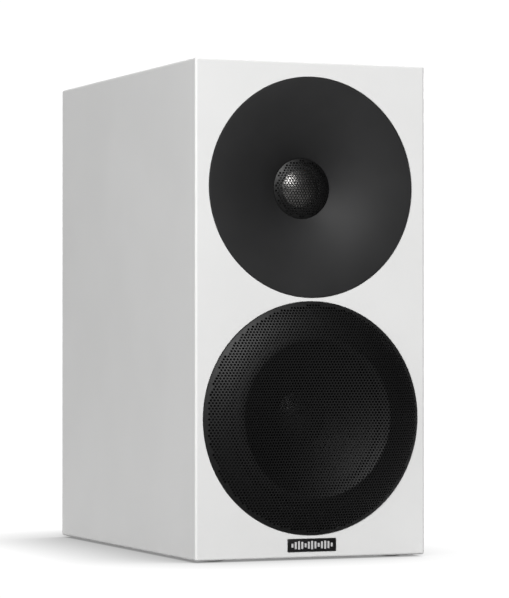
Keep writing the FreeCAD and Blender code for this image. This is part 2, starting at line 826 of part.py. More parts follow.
def woofer_screws():
    screw_circle("woofer_screws", "woofer_line", "woofer_screw_circle", "screw_count", QUARTER_TURN / 2,
                 "screw_head", "flange_front + screw_clearance", "flange_front + screw_head_depth",
                 "screw_shank", "flange_front + screw_head_depth + screw_reach - 1")


def woofer_terminals():
    """Strip with two push-on tabs beside the frame's waist."""
    body = new_body("woofer_terminals", "frame_back_radius + soft_gap", FRONT, "woofer_line")
    strip = rectangle("frame_waist", "0 - strip_height / 2", "frame_depth - 1", "strip_height / 2")
    grow(body, [strip], "0", "strip_sheet", "YZ_Plane")
    middle = "(frame_waist + frame_depth) / 2"
    tabs = [rectangle(f"{middle} - tab_width / 2", f"{sign} * tab_spread - tab_sheet / 2",
                      f"{middle} + tab_width / 2", f"{sign} * tab_spread + tab_sheet / 2")
            for sign in (-1, 1)]
    grow(body, tabs, "strip_sheet", "tab_reach", "YZ_Plane")


def woofer_tinsel():
    """Two flexible leads from the strip through a window to the back of the cone."""
    routes = []
    strip = "frame_back_radius + soft_gap + strip_sheet + tinsel_radius + glue_line"
    meet = "frame_back_radius - 20"
    cone_back = f"cone_front + cone_sheet + (cone_radius - ({meet}) + tinsel_radius) * cone_slope"
    for sign in (-1, 1):
        z = f"woofer_line + {sign} * (tab_spread + 3)"
        routes.append([
            at(strip, "frame_depth - 6", z),
            at("frame_back_radius + 6.5", "frame_waist - 4", z),
            at("frame_back_radius + 1", "frame_waist - 11.5", z),
            at("frame_back_radius - 10", "frame_waist - 12.5", z),
            at(meet, "frame_waist - 12.5", z),
            at(meet, f"{cone_back} + tinsel_radius", z),
        ])
    leads("woofer_tinsel_leads", routes, "tinsel_radius")


# Tweeter


def waveguide():
    """Moulded horn flare, flush with the baffle, with a boss behind its throat."""
    body = turned("waveguide", "tweeter_line", [
        ("throat_radius", "waveguide_depth"),
        ("flare_radius", "flare_depth", "via"),
        ("waveguide_radius", "0"),
        ("waveguide_radius", "waveguide_lip"),
        ("waveguide_seat", "waveguide_lip"),
        ("waveguide_seat - 6", "waveguide_lip + 6"),
        ("boss_radius", "waveguide_depth"),
        ("boss_radius", "throat_back"),
        ("throat_radius", "throat_back"),
    ])
    sketch_z = [(f"{sx} * tweeter_screw_circle * {math.sqrt(0.5)}", f"{sz} * tweeter_screw_circle * {math.sqrt(0.5)}")
                for sx in (-1, 1) for sz in (-1, 1)]
    carve(body, [(x, z, "small_shank + screw_clearance") for x, z in sketch_z],
          "throat_back - small_reach", "small_reach")


def tweeter_grille():
    """Domed wire-mesh guard in the throat."""
    inner, inner_rise = "mesh_radius - mesh_sheet", "mesh_rise - mesh_sheet / 2"
    turned("tweeter_grille", "tweeter_line", [
        ("0", "mesh_front"),
        ("mesh_radius / 2", f"mesh_front + {bulge('mesh_radius', 'mesh_rise')}", "via"),
        ("mesh_radius", "waveguide_depth"),
        ("mesh_radius", "throat_back"),
        (inner, "throat_back"),
        (inner, "waveguide_depth + mesh_sheet / 2"),
        (f"({inner}) / 2", f"mesh_front + mesh_sheet + {bulge(inner, inner_rise)}", "via"),
        ("0", "mesh_front + mesh_sheet"),
    ])


def tweeter_plate():
    """Ring plate that carries the dome's suspension and bolts to the waveguide."""
    body = turned("tweeter_mounting_plate", "tweeter_line",
                  rectangle("plate_bore", "throat_back", "boss_radius", "plate_back"))
    corners = [(f"{sx} * tweeter_screw_circle * {math.sqrt(0.5)}", f"{sz} * tweeter_screw_circle * {math.sqrt(0.5)}")
               for sx in (-1, 1) for sz in (-1, 1)]
    carve(body, [(x, z, "small_shank + screw_clearance") for x, z in corners], "throat_back", "plate_sheet")


def tweeter_dome():
    """Thin metal dome."""
    turned("tweeter_dome", "tweeter_line", [
        ("0", "dome_front"),
        ("dome_radius / 2", f"dome_front + {bulge('dome_radius', 'dome_rise')}", "via"),
        ("dome_radius", "dome_base"),
        ("dome_radius", "dome_base + dome_sheet"),
        ("dome_radius / 2", f"dome_front + dome_sheet + {bulge('dome_radius', 'dome_rise')}", "via"),
        ("0", "dome_front + dome_sheet"),
    ])


def tweeter_surround():
    """Half-roll of coated cloth round the dome."""
    inner, outer = "dome_radius + glue_gap", "plate_bore - 0.1"
    middle = f"({inner} + {outer}) / 2"
    lip_end = "plate_bore + dome_lip"
    turned("tweeter_surround", "tweeter_line", [
        (inner, "dome_base"),
        (middle, "dome_base - dome_roll", "via"),
        (outer, "dome_base"),
        (lip_end, "dome_base"),
        (lip_end, "throat_back - glue_gap"),
        (f"{outer} - 0.25", "throat_back - glue_gap"),
        (middle, "dome_base - dome_roll + 0.25", "via"),
        (f"{inner} + 0.25", "throat_back - glue_gap"),
        (inner, "throat_back - glue_gap"),
    ])


def tweeter_motor():
    """Voice coil, front plate, ferrite ring, yoke and the damped chamber behind them."""
    z = "tweeter_line"
    coil = "tweeter_former / 2"
    ring("tweeter_voice_coil", z, f"dome_radius - {coil}", f"dome_radius + {coil}",
         "tweeter_coil_front + glue_line", "tweeter_coil_front + tweeter_coil_length")
    ring("tweeter_front_plate", z, "tweeter_gap_radius", "tweeter_plate_radius",
         "plate_back", "tweeter_magnet_front")
    ring("tweeter_magnet", z, "tweeter_magnet_bore", "tweeter_magnet_radius",
         "tweeter_magnet_front", "tweeter_magnet_back")
    turned("tweeter_yoke", z, [
        ("tweeter_vent", "plate_back - 1"),
        ("tweeter_pole", "plate_back - 1"),
        ("tweeter_pole", "tweeter_magnet_back"),
        ("tweeter_yoke_radius", "tweeter_magnet_back"),
        ("tweeter_yoke_radius", "cup_front"),
        ("tweeter_vent", "cup_front"),
    ])
    turned("tweeter_rear_cup", z, [
        ("0", "cup_front + cup_length - cup_wall"),
        ("cup_radius - cup_wall", "cup_front + cup_length - cup_wall"),
        ("cup_radius - cup_wall", "cup_front"),
        ("cup_radius", "cup_front"),
        ("cup_radius", "cup_front + cup_length"),
        ("0", "cup_front + cup_length"),
    ])


def tweeter_screws():
    screw_circle("tweeter_screws", "tweeter_line", "tweeter_screw_circle", "screw_count", QUARTER_TURN / 2,
                 "small_head", "plate_back + 2", "plate_back",
                 "small_shank", "throat_back - small_reach + 1")


# Port and terminals


def port_tube():
    """Flared reflex port: a lip let into the back panel, a flare and a straight tube."""
    wall, back = "port_wall", "cabinet_depth"
    radius, flange = "port_radius", "port_flange"
    flare_end = f"{radius} + port_flare"
    turned("port_tube", "port_line", [
        (radius, f"{back} - port_length"),
        (radius, f"{back} - port_flare"),
        (f"{radius} + port_flare * 0.2929", f"{back} - port_flare * 0.2929", "via"),
        (flare_end, back),
        (flange, f"{back} + port_lip / 2"),
        (flange, f"{back} - port_flare + 0.3"),
        (f"{radius} + {wall}", f"{back} - port_flare + 0.3"),
        (f"{radius} + {wall}", f"{back} - port_length"),
    ])


def plate_corners():
    """Where the screws of the terminal plate go."""
    across, up = "plate_width / 2 - plate_round", "plate_height / 2 - plate_round"
    return [(f"{sx} * ({across})", f"terminal_line + {sz} * ({up})") for sx in (-1, 1) for sz in (-1, 1)]


def terminal_plate():
    """Moulded plate over the cut-out, with a boss behind it that carries the posts."""
    body = new_body("terminal_plate", MIDDLE, FRONT, MIDDLE)
    grow(body, [rectangle("0 - plate_width / 2", "terminal_line - plate_height / 2",
                          "plate_width / 2", "terminal_line + plate_height / 2")], "plate_front", "plate_face")
    soften(body, "plate_round - small_head", runs_along_y)
    grow(body, [(MIDDLE, "terminal_line", "plate_boss_radius")], "boss_front", "plate_boss_depth")
    carve(body, [(x, z, "small_shank + screw_clearance") for x, z in plate_corners()],
          "plate_front", "plate_face")
    carve(body, [(f"{sign} * post_spread", "terminal_line", "stud_radius + screw_clearance") for sign in (-1, 1)],
          "boss_front", "plate_boss_depth + plate_face")


def terminal_screws():
    body = new_body("terminal_screws", MIDDLE, FRONT, MIDDLE)
    corners = plate_corners()
    grow(body, [(x, z, "small_head") for x, z in corners], "plate_out", "1.4")
    grow(body, [(x, z, "small_shank") for x, z in corners],
         "plate_front - small_reach + 0.5", "plate_face + small_reach - 0.5")


def binding_post(colour, sign):
    """Hollow threaded stud with its collar, clamp washer and knurled nut."""
    x, z = f"{sign} * post_spread", "terminal_line"
    stud = turned(f"post_stud_{colour}", z, [
        ("0", "boss_front - stud_inside"),
        ("stud_radius", "boss_front - stud_inside"),
        ("stud_radius", "post_end"),
        ("socket_radius", "post_end"),
        ("socket_radius", "post_end - socket_depth"),
        ("0", "post_end - socket_depth"),
    ], x)
    carve(stud, [(MIDDLE, "washer_out + wire_hole + 0.3", "wire_hole")],
          "0 - stud_radius - 1", "2 * stud_radius + 2", "XY_Plane")
    turned(f"post_collar_{colour}", z, rectangle(
        "stud_radius + screw_clearance", "plate_out", "collar_radius", "collar_out"), x)
    turned(f"post_washer_{colour}", z, rectangle(
        "stud_radius + thread_clearance", "collar_out + running_gap", "washer_radius", "washer_out"), x)
    turned(f"post_nut_{colour}", z, [
        ("stud_radius + thread_clearance", "nut_start"),
        ("nut_radius - nut_skirt", "nut_start"),
        ("nut_radius", "nut_start + nut_skirt"),
        ("nut_radius", "nut_start + nut_length - nut_skirt"),
        ("nut_radius - nut_skirt", "nut_start + nut_length"),
        ("stud_radius + thread_clearance", "nut_start + nut_length"),
    ], x)


def hexagon(x, z, radius):
    """Six corners about a centre, the first on the right."""
    return [(f"{x} + {radius} * {math.cos(math.radians(60 * n))}", f"{z} + {radius} * {math.sin(math.radians(60 * n))}")
            for n in range(6)]


def terminal_nuts():
    """Hexagon nuts that hold the studs behind the plate."""
    body = new_body("terminal_nuts", MIDDLE, FRONT, "terminal_line")
    spots = [f"{sign} * post_spread" for sign in (-1, 1)]
    grow(body, [hexagon(x, "0", "hex_radius") for x in spots], "hex_front", "hex_height")
    carve(body, [(x, "0", "stud_radius + thread_clearance") for x in spots], "hex_front", "hex_height")


def solder_lug(sign):
    """Ring tongue on one stud, with a tail that hangs down to its lead."""
    x, z = value(f"{sign} * post_spread"), value("terminal_line")
    along = FreeCAD.Vector(0, 1, 0)
    corner = FreeCAD.Vector(x, value("lug_front"), z)
    sheet_depth = value("lug_sheet")
    disc = Part.makeCylinder(value("lug_radius"), sheet_depth, corner, along)
    tail_width = value("lug_radius")
    tail = Part.makeBox(tail_width, sheet_depth, value("lug_length"),
                        corner + FreeCAD.Vector(-tail_width / 2, 0, -value("lug_length")))
    bore = Part.makeCylinder(value("stud_radius + thread_clearance"), sheet_depth, corner, along)
    return disc.fuse(tail).cut(bore).removeSplitter()


def input_leads():
    """From the lugs down to the rear edge of the board."""
    routes = []
    depth = "lug_front - lead_radius - glue_line"
    for sign in (-1, 1):
        x = f"{sign} * post_spread"
        routes.append([
            at(x, depth, "terminal_line - lug_length + 2"),
            at(x, "lug_front - 4", "terminal_line - lug_length - 6"),
            at(f"{x} * 1.2", "back_line - 14", "terminal_line - lug_length - 22"),
            at(f"{x} * 1.5", "board_start + board_depth + 8", "board_top + 26"),
            at(f"{x} * 1.5", "board_start + board_depth - 5", "board_top + 12"),
            at(f"{x} * 1.5", "board_start + board_depth - 5", "part_line + lead_radius / 2"),
        ])
    leads("input_leads", routes, "lead_radius", [solder_lug(sign) for sign in (-1, 1)])


def driver_leads():
    """Leads from the board to each driver, clear of the magnet and through the brace's window."""
    tab = "frame_back_radius + soft_gap + strip_sheet + tab_reach - 1"
    tab_back = "(frame_waist + frame_depth) / 2 + tab_width / 2 + lead_radius + glue_line"
    foot = "part_line + lead_radius / 2"
    woofer, tweeter = [], []
    for sign in (-1, 1):
        woofer.append([
            at(tab, tab_back, f"woofer_line + {sign} * tab_spread"),
            at(tab, "magnet_back", f"woofer_line - 4 + {sign} * 4"),
            at(f"{tab} - 4 + {sign} * 1.5", "woofer_back + 12", f"woofer_line - 34 + {sign} * 3"),
            at(f"{tab} - 15 + {sign} * 3", "board_start + 4", f"board_top + 20 + {sign} * 2"),
            at(f"{tab} - 16 + {sign} * 3", "board_start + 5", foot),
        ])
        tweeter.append([
            at("2.5 - boss_radius", "plate_back + 9", f"tweeter_line + {sign} * 4"),
            at("0 - lead_line", "plate_back + 24", f"tweeter_line - 14 + {sign} * 4"),
            at(f"{sign} * 3 - lead_line", "woofer_back + 4", "brace_line + 34"),
            at(f"{sign} * 3 - lead_line", "woofer_back + 14", "brace_line - 12"),
            at(f"{sign} * 3 - lead_line", "woofer_back + 20", "brace_line - 62"),
            at(f"{sign} * 3 + 2 - lead_line", "board_start + 4", "board_top + 22"),
            at(f"{sign} * 3 + 2 - lead_line", "board_start + 5", foot),
        ])
    leads("woofer_leads", woofer, "lead_radius")
    leads("tweeter_leads", tweeter, "lead_radius")


def tweeter_terminals():
    """Two tabs on a small bridge behind the tweeter's mounting plate."""
    body = new_body("tweeter_terminals", "0 - boss_radius", FRONT, "tweeter_line")
    grow(body, [rectangle("0", "0 - 7", "5", "7")], "plate_back", "3")
    tabs = [rectangle("2", f"{sign} * 4 - tab_sheet / 2", "4.5", f"{sign} * 4 + tab_sheet / 2") for sign in (-1, 1)]
    grow(body, tabs, "plate_back + 3", "4.5")


# Crossover


def crossover():
    """Board on four standoffs, with its coils, capacitors and resistors."""
    left = "0 - board_width / 2"
    block("crossover_board", left, f"{FRONT} + board_start", "board_line", "board_width", "board_depth", "board_sheet")
    body = new_body("crossover_standoffs", MIDDLE, FRONT, "floor_line")
    across = "board_width / 2 - standoff_inset"
    spots = [(f"{sign} * ({across})", y) for sign in (-1, 1)
             for y in ("board_start + standoff_inset", "board_start + board_depth - standoff_inset")]
    grow(body, [(x, y, "standoff_radius") for x, y in spots], "0", "standoff_height", "XY_Plane")
    turned("air_core_inductor", "part_line", rectangle("air_coil_bore", "0", "air_coil_radius", "air_coil_height"),
           "0 - board_width / 4 + 2", f"{FRONT} + board_start + 38", "XZ_Plane")
    iron = turned("iron_core_inductor", "part_line + iron_core_height / 2", [
        ("0", "0 - iron_coil_length / 2"),
        ("iron_coil_radius", "0 - iron_coil_length / 2"),
        ("iron_coil_radius", "iron_coil_length / 2"),
        ("0", "iron_coil_length / 2"),
    ], "board_width / 4", f"{FRONT} + board_start + 34")
    grow(iron, [rectangle("0 - iron_core_width / 2", "0 - iron_core_height / 2",
                          "iron_core_width / 2", "iron_core_height / 2")],
         "0 - iron_core_depth / 2", "iron_core_depth")
    capacitors = new_body("capacitors", MIDDLE, f"{FRONT} + board_start + board_depth - 20",
                          "part_line + capacitor_radius")
    for start in ("0 - 44", "10"):
        grow(capacitors, [(MIDDLE, MIDDLE, "capacitor_radius")], start, "capacitor_length", "YZ_Plane")
    resistors = new_body("resistors", "0 - 3", f"{FRONT} + board_start", "part_line")
    for start in ("8", "20"):
        grow(resistors, [rectangle("0", start, "resistor_side", f"{start} + resistor_side")],
             "0", "resistor_length", "XY_Plane")


def build():
    fill_sheet()
    baffle()
    back_panel()
    side_panel("side_panel_left", -1)
    side_panel("side_panel_right", 1)
    level_panel("bottom_panel", "foot_height")
    level_panel("top_panel", "top_line - wall_thickness")
    window_brace()
    damping("damping_left", -1)
    damping("damping_right", 1)
    feet()
    badge()
    woofer_grille()
    woofer_basket()
    grille_magnets()
    woofer_surround()
    woofer_cone()
    woofer_dust_cap()
    woofer_spider()
    woofer_motor()
    woofer_gasket()
    woofer_screws()
    woofer_terminals()
    woofer_tinsel()
    waveguide()
    tweeter_grille()
    tweeter_plate()
    tweeter_dome()
    tweeter_surround()
    tweeter_motor()
    tweeter_screws()
    tweeter_terminals()
    port_tube()
    terminal_plate()
    terminal_screws()
    binding_post("red", -1)
    binding_post("black", 1)
    terminal_nuts()
    input_leads()
    driver_leads()
    crossover()
    doc.recompute()


def check_and_write():
    """Refuses a failed feature or a bad solid, then writes one file per piece."""
    for item in doc.Objects:
        if {"Invalid", "Error"} & set(item.State):
            raise RuntimeError(f"{item.Label} failed: {item.State}")
    os.makedirs("parts", exist_ok=True)
    for name, item in pieces.items():
        if item.Shape.isNull() or not item.Shape.isValid() or not item.Shape.Solids:
            raise RuntimeError(f"{name} has no sound solid")
    for name, item in pieces.items():
        item.Shape.exportStep(f"parts/{name}.step")
    print(len(pieces), "pieces written")


build()
check_and_write()
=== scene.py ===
"""Two-way bookshelf speaker: its visible pieces, finishes and stage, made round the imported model.

Tables and profiles are in millimetres and are turned into metres by MM. A profile is a list of
(radius, depth) pairs, with the depth counted from the front of the baffle into the cabinet.
"""

import json
import math

import bmesh
import bpy
import numpy as np
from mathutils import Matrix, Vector, noise
from mathutils.geometry import delaunay_2d_cdt


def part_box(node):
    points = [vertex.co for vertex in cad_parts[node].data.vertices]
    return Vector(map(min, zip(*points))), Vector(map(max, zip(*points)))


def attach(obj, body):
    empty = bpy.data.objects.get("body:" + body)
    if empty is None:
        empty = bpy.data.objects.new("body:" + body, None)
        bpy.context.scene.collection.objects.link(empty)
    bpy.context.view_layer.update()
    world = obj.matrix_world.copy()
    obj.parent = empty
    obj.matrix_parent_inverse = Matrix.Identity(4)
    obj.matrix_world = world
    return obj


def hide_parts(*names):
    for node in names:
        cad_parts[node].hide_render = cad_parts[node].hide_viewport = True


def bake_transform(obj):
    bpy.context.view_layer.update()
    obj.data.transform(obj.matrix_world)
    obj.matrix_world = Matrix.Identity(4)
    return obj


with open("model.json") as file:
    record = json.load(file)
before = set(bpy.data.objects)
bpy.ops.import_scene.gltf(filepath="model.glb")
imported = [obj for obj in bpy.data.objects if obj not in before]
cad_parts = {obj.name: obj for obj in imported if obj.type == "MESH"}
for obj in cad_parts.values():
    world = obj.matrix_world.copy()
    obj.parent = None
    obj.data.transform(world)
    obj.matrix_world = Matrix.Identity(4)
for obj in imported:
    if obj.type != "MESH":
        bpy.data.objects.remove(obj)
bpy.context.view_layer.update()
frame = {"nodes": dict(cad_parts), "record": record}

bl_info = {
    "name": "Bookshelf speaker",
    "version": (1, 0, 0),
    "blender": (4, 5, 0),
    "location": "View3D > Sidebar > Speaker",
    "description": "Builds a two-way bookshelf speaker, its finishes and a plain stage",
    "category": "Object",
}

MM = 0.001
FULL_TURN = 2 * math.pi
SHARP_ANGLE = math.radians(38)

BODY_OF = {node: body for body, nodes in frame["record"]["behaviour"]["bodies"].items() for node in nodes}
SLOT_OF = {part["node"]: part["material_slot"] for part in frame["record"]["subparts"]}


def centre_of(node):
    """The middle of a CAD node's box."""
    low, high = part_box(node)
    return (low + high) / 2


def reach_of(node):
    """Half of a round CAD node's height, in millimetres."""
    low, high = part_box(node)
    return (high.z - low.z) / 2 / MM


def depth_of(node, end):
    """How far a node's front (0) or back (1) lies behind the front of the baffle, in millimetres."""
    return (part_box(node)[end].y - FRONT) / MM


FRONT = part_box("front_baffle")[0].y
WOOFER = centre_of("woofer_grille")
TWEETER = centre_of("waveguide")
PORT = centre_of("port_tube")
TERMINALS = centre_of("terminal_plate")

GRILLE_RADIUS = reach_of("woofer_grille")
WAVEGUIDE_RADIUS = reach_of("waveguide")
BACK = depth_of("back_panel", 1)


# Sizes and colours that a user would change


def length(name, description, default):
    return bpy.props.FloatProperty(
        name=name, description=description, default=default, min=0.0, unit="LENGTH", precision=5
    )


def share(name, description, default, high=1.0):
    return bpy.props.FloatProperty(
        name=name, description=description, default=default, min=0.0, max=high, subtype="FACTOR"
    )


def count(name, description, default):
    return bpy.props.IntProperty(name=name, description=description, default=default, min=3)


def colour(name, description, default):
    return bpy.props.FloatVectorProperty(
        name=name, description=description, default=default, size=4, min=0.0, max=1.0, subtype="COLOR"
    )


class SpeakerGrilles(bpy.types.PropertyGroup):
    """Sizes of the two perforated covers."""

    woofer_pitch: length("Woofer hole pitch", "Distance between the holes of the woofer grille", 0.0020)
    woofer_hole: length("Woofer hole", "Width of one hole of the woofer grille", 0.00146)
    woofer_rim: length("Woofer rim", "Width of the plain rim of the woofer grille", 0.0011)
    woofer_sheet: length("Woofer sheet", "Thickness of the woofer grille", 0.0008)
    tweeter_pitch: length("Tweeter hole pitch", "Distance between the holes of the tweeter guard", 0.0019)
    tweeter_hole: length("Tweeter hole", "Width of one hole of the tweeter guard", 0.00144)
    tweeter_sheet: length("Tweeter sheet", "Thickness of the tweeter guard", 0.0006)


class SpeakerFinish(bpy.types.PropertyGroup):
    """Colours and gloss of the outside."""

    lacquer: colour("Lacquer", "Colour of the cabinet", (0.79, 0.79, 0.785, 1.0))
    lacquer_roughness: share("Lacquer roughness", "How matt the cabinet is", 0.34)
    waveguide: colour("Waveguide", "Colour of the moulded waveguide", (0.0130, 0.0130, 0.0135, 1.0))
    waveguide_roughness: share("Waveguide roughness", "How matt the waveguide is", 0.60)
    grille: colour("Grille", "Colour of the coated perforated steel", (0.0008, 0.0008, 0.0009, 1.0))
    metal: colour("Dome metal", "Colour of the tweeter dome", (0.44, 0.43, 0.42, 1.0))
    badge_mark: colour("Badge mark", "Colour of the bars on the badge", (0.60, 0.60, 0.60, 1.0))


class SpeakerDetail(bpy.types.PropertyGroup):
    """How fine the turned pieces are, and the counts of their small details."""

    segments: count("Segments", "Steps round a large turned piece", 288)
    small_segments: count("Small segments", "Steps round a small turned piece", 72)
    grip_ridges: count("Grip ridges", "Ridges round a terminal nut", 30)
    thread_pitch: length("Thread pitch", "Pitch of the thread on the posts", 0.001)
    badge_bars: count("Badge bars", "Bars on the badge", 13)


class SpeakerStage(bpy.types.PropertyGroup):
    """The floor, lamps and camera."""

    floor: colour("Floor", "Colour of the floor", (1.0, 1.0, 1.0, 1.0))
    surround: share("Surround light", "Strength of the light from all round", 0.07, 4.0)
    background: share("Background", "Brightness of the paper behind the speaker", 1.05, 4.0)
    key: share("Key light", "Power of the large lamp at the front left, in watts", 160.0, 400.0)
    side: share("Side light", "Power of the weaker lamp on the left, in watts", 25.0, 400.0)
    back: share("Back light", "Power of the lamp behind the speaker, in watts", 90.0, 400.0)
    top: share("Top light", "Power of the large lamp overhead, in watts", 13.0, 400.0)
    lens: bpy.props.FloatProperty(
        name="Lens", description="Focal length of the camera", default=171.9, min=1.0)


def grilles():
    return bpy.context.scene.speaker_grilles


def finishes():
    return bpy.context.scene.speaker_finish


def detail():
    return bpy.context.scene.speaker_detail


def stage():
    return bpy.context.scene.speaker_stage


# Meshes


def new_piece(name, verts, faces, nodes, smooth=True, fix_normals=True):
    """A mesh that stands for CAD nodes, hides them and takes the finish of their slot."""
    mesh = bpy.data.meshes.new(name)
    mesh.from_pydata(verts, [], faces)
    if fix_normals:
        face_outwards(mesh)
    piece = bpy.data.objects.new(name, mesh)
    bpy.context.scene.collection.objects.link(piece)
    if smooth:
        mesh.shade_smooth()
        mesh.set_sharp_from_angle(angle=SHARP_ANGLE)
    mesh.materials.append(finish_for(SLOT_OF[nodes[0]]))
    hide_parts(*nodes)
    return piece


def face_outwards(mesh):
    shape = bmesh.new()
    shape.from_mesh(mesh)
    bmesh.ops.recalc_face_normals(shape, faces=shape.faces)
    shape.to_mesh(mesh)
    shape.free()


def solid_piece(name, verts, faces, nodes, **options):
    """A stiff piece, which moves with the body of the node that it stands for."""
    piece = new_piece(name, verts, faces, nodes, **options)
    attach(piece, BODY_OF[nodes[0]])
    return piece


def joined(*parts):
    """Several (verts, faces) lists as one."""
    verts, faces = [], []
    for some_verts, some_faces in parts:
        start = len(verts)
        verts.extend(some_verts)
        faces.extend([tuple(start + index for index in face) for face in some_faces])
    return verts, faces


def skin(rings, closed=True):
    """Verts and faces that join rings of equal length. A ring of one point is a pole."""
    verts, faces, starts = [], [], []
    for ring in rings:
        starts.append(len(verts))
        verts.extend([tuple(point) for point in ring])
    pairs = list(zip(range(len(rings)), range(1, len(rings))))
    if closed:
        pairs.append((len(rings) - 1, 0))
    for one, two in pairs:
        sizes = len(rings[one]), len(rings[two])
        steps = max(sizes)
        if steps == 1:
            continue
        for step in range(steps):
            after = (step + 1) % steps
            if sizes[0] == 1:
                faces.append((starts[one], starts[two] + step, starts[two] + after))
            elif sizes[1] == 1:
                faces.append((starts[one] + step, starts[two], starts[one] + after))
            else:
                near, far = starts[one], starts[two]
                faces.append((near + step, far + step, far + after, near + after))
    return verts, faces


def to_depth(centre, across, up, depth):
    """Frame points of offsets in millimetres from a front-to-back axis through centre."""
    across, up, depth = np.broadcast_arrays(across, up, depth)
    return np.stack([centre.x + across * MM, FRONT + depth * MM, centre.z + up * MM], axis=-1)


def to_height(centre, across, up, depth):
    """Frame points of offsets in millimetres from an upright axis, with the depth upwards from the centre."""
    across, up, depth = np.broadcast_arrays(across, up, depth)
    return np.stack([centre.x + across * MM, centre.y + up * MM, centre.z + depth * MM], axis=-1)


def to_side(centre, across, up, depth):
    """Frame points of offsets in millimetres from a left-to-right axis, with the depth to the right."""
    across, up, depth = np.broadcast_arrays(across, up, depth)
    return np.stack([centre.x + depth * MM, centre.y + across * MM, centre.z + up * MM], axis=-1)


def spun(centre, profile, segments, closed=True, to_frame=to_depth):
    """A profile turned about an axis. A radius may be a list with one value for each step round."""
    turn = np.linspace(0, FULL_TURN, segments, endpoint=False)
    rings = []
    for radius, depth in profile:
        if np.ndim(radius) == 0 and radius == 0:
            rings.append(to_frame(centre, np.zeros(1), 0.0, depth))
        else:
            rings.append(to_frame(centre, radius * np.cos(turn), radius * np.sin(turn), depth))
    return skin(rings, closed)


def arc(start, via, end, steps=24):
    """Points on the circle through three, without the last one."""
    (ax, ay), (bx, by), (cx, cy) = start, via, end
    twice = 2 * (ax * (by - cy) + bx * (cy - ay) + cx * (ay - by))
    squares = ax * ax + ay * ay, bx * bx + by * by, cx * cx + cy * cy
    x = (squares[0] * (by - cy) + squares[1] * (cy - ay) + squares[2] * (ay - by)) / twice
    y = (squares[0] * (cx - bx) + squares[1] * (ax - cx) + squares[2] * (bx - ax)) / twice
    radius = math.hypot(ax - x, ay - y)
    angles = [math.atan2(py - y, px - x) for px, py in (start, via, end)]
    swing = (angles[2] - angles[0]) % FULL_TURN
    if (angles[1] - angles[0]) % FULL_TURN > swing:
        swing -= FULL_TURN
    turns = [angles[0] + swing * step / steps for step in range(steps)]
    return [(x + radius * math.cos(turn), y + radius * math.sin(turn)) for turn in turns]


def eased(points, ease, closed=True, steps=4):
    """The outline with its corners rounded. A point's own third number comes before ease."""
    count_of = len(points)
    out = []
    for index, point in enumerate(points):
        here = Vector(point[:2])
        cut = point[2] if len(point) == 3 else ease
        inside = closed or 0 < index < count_of - 1
        if not cut or not inside:
            out.append(tuple(here))
            continue
        before, after = Vector(points[index - 1][:2]), Vector(points[(index + 1) % count_of][:2])
        cut = min(cut, (before - here).length / 2.2, (after - here).length / 2.2)
        start = here + (before - here).normalized() * cut
        end = here + (after - here).normalized() * cut
        for step in range(steps + 1):
            along = step / steps
            first, second = start.lerp(here, along), here.lerp(end, along)
            out.append(tuple(first.lerp(second, along)))
    return out


def ring_profile(bore, radius, front, back, ease=0.3):
    """The section of a ring with rounded corners."""
    return eased([(bore, front), (radius, front), (radius, back), (bore, back)], ease)


def rounded_outline(half_width, half_height, corner, inset=0.0, steps=8):
    """Points round a rectangle with rounded corners, in millimetres."""
    radius = max(corner - inset, 0.05)
    out = []
    for quarter in range(4):
        sign_x, sign_z = (1, 1, -1, -1)[(quarter + 1) % 4], (1, 1, -1, -1)[quarter]
        x, z = sign_x * (half_width - inset - radius), sign_z * (half_height - inset - radius)
        for step in range(steps + 1):
            turn = math.pi / 2 * (quarter + step / steps)
            out.append((x + radius * math.cos(turn), z + radius * math.sin(turn)))
    return out


def plate(centre, half_width, half_height, corner, levels, to_frame=to_depth):
    """A flat piece lofted through levels, each an (inset, depth) pair, and capped at both ends."""
    rings = []
    for inset, depth in levels:
        outline = np.array(rounded_outline(half_width, half_height, corner, inset))
        rings.append(to_frame(centre, outline[:, 0], outline[:, 1], depth))
    verts, faces = skin(rings, closed=False)
    size = len(rings[0])
    faces.append(tuple(range(size)))
    faces.append(tuple(range(len(verts) - size, len(verts))))
    return verts, faces


def set_radial_blend(piece, centre, outer, inner):
    """Bakes the place of a ring between the cabinet and a diaphragm into its mesh, and reads its points in
    millimetres.
    """
    start, end = (to_depth(centre, radius, 0.0, 0.0) for radius in (outer, inner))
    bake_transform(piece)
    spots = np.zeros(len(piece.data.vertices) * 3)
    piece.data.vertices.foreach_get("co", spots)
    spots = spots.reshape(-1, 3) / MM


# Perforated sheet


def hex_cells(pitch, low, high):
    """Centres of a lattice of holes, with level rows, between two radii."""
    row = pitch * math.sqrt(3) / 2
    reach = int(high / row) + 2
    cells = []
    for j in range(-reach, reach + 1):
        for i in range(-reach, reach + 1):
            x, z = (i + (j % 2) / 2) * pitch, j * row
            if low < math.hypot(x, z) <= high:
                cells.append((x, z))
    return np.array(cells)


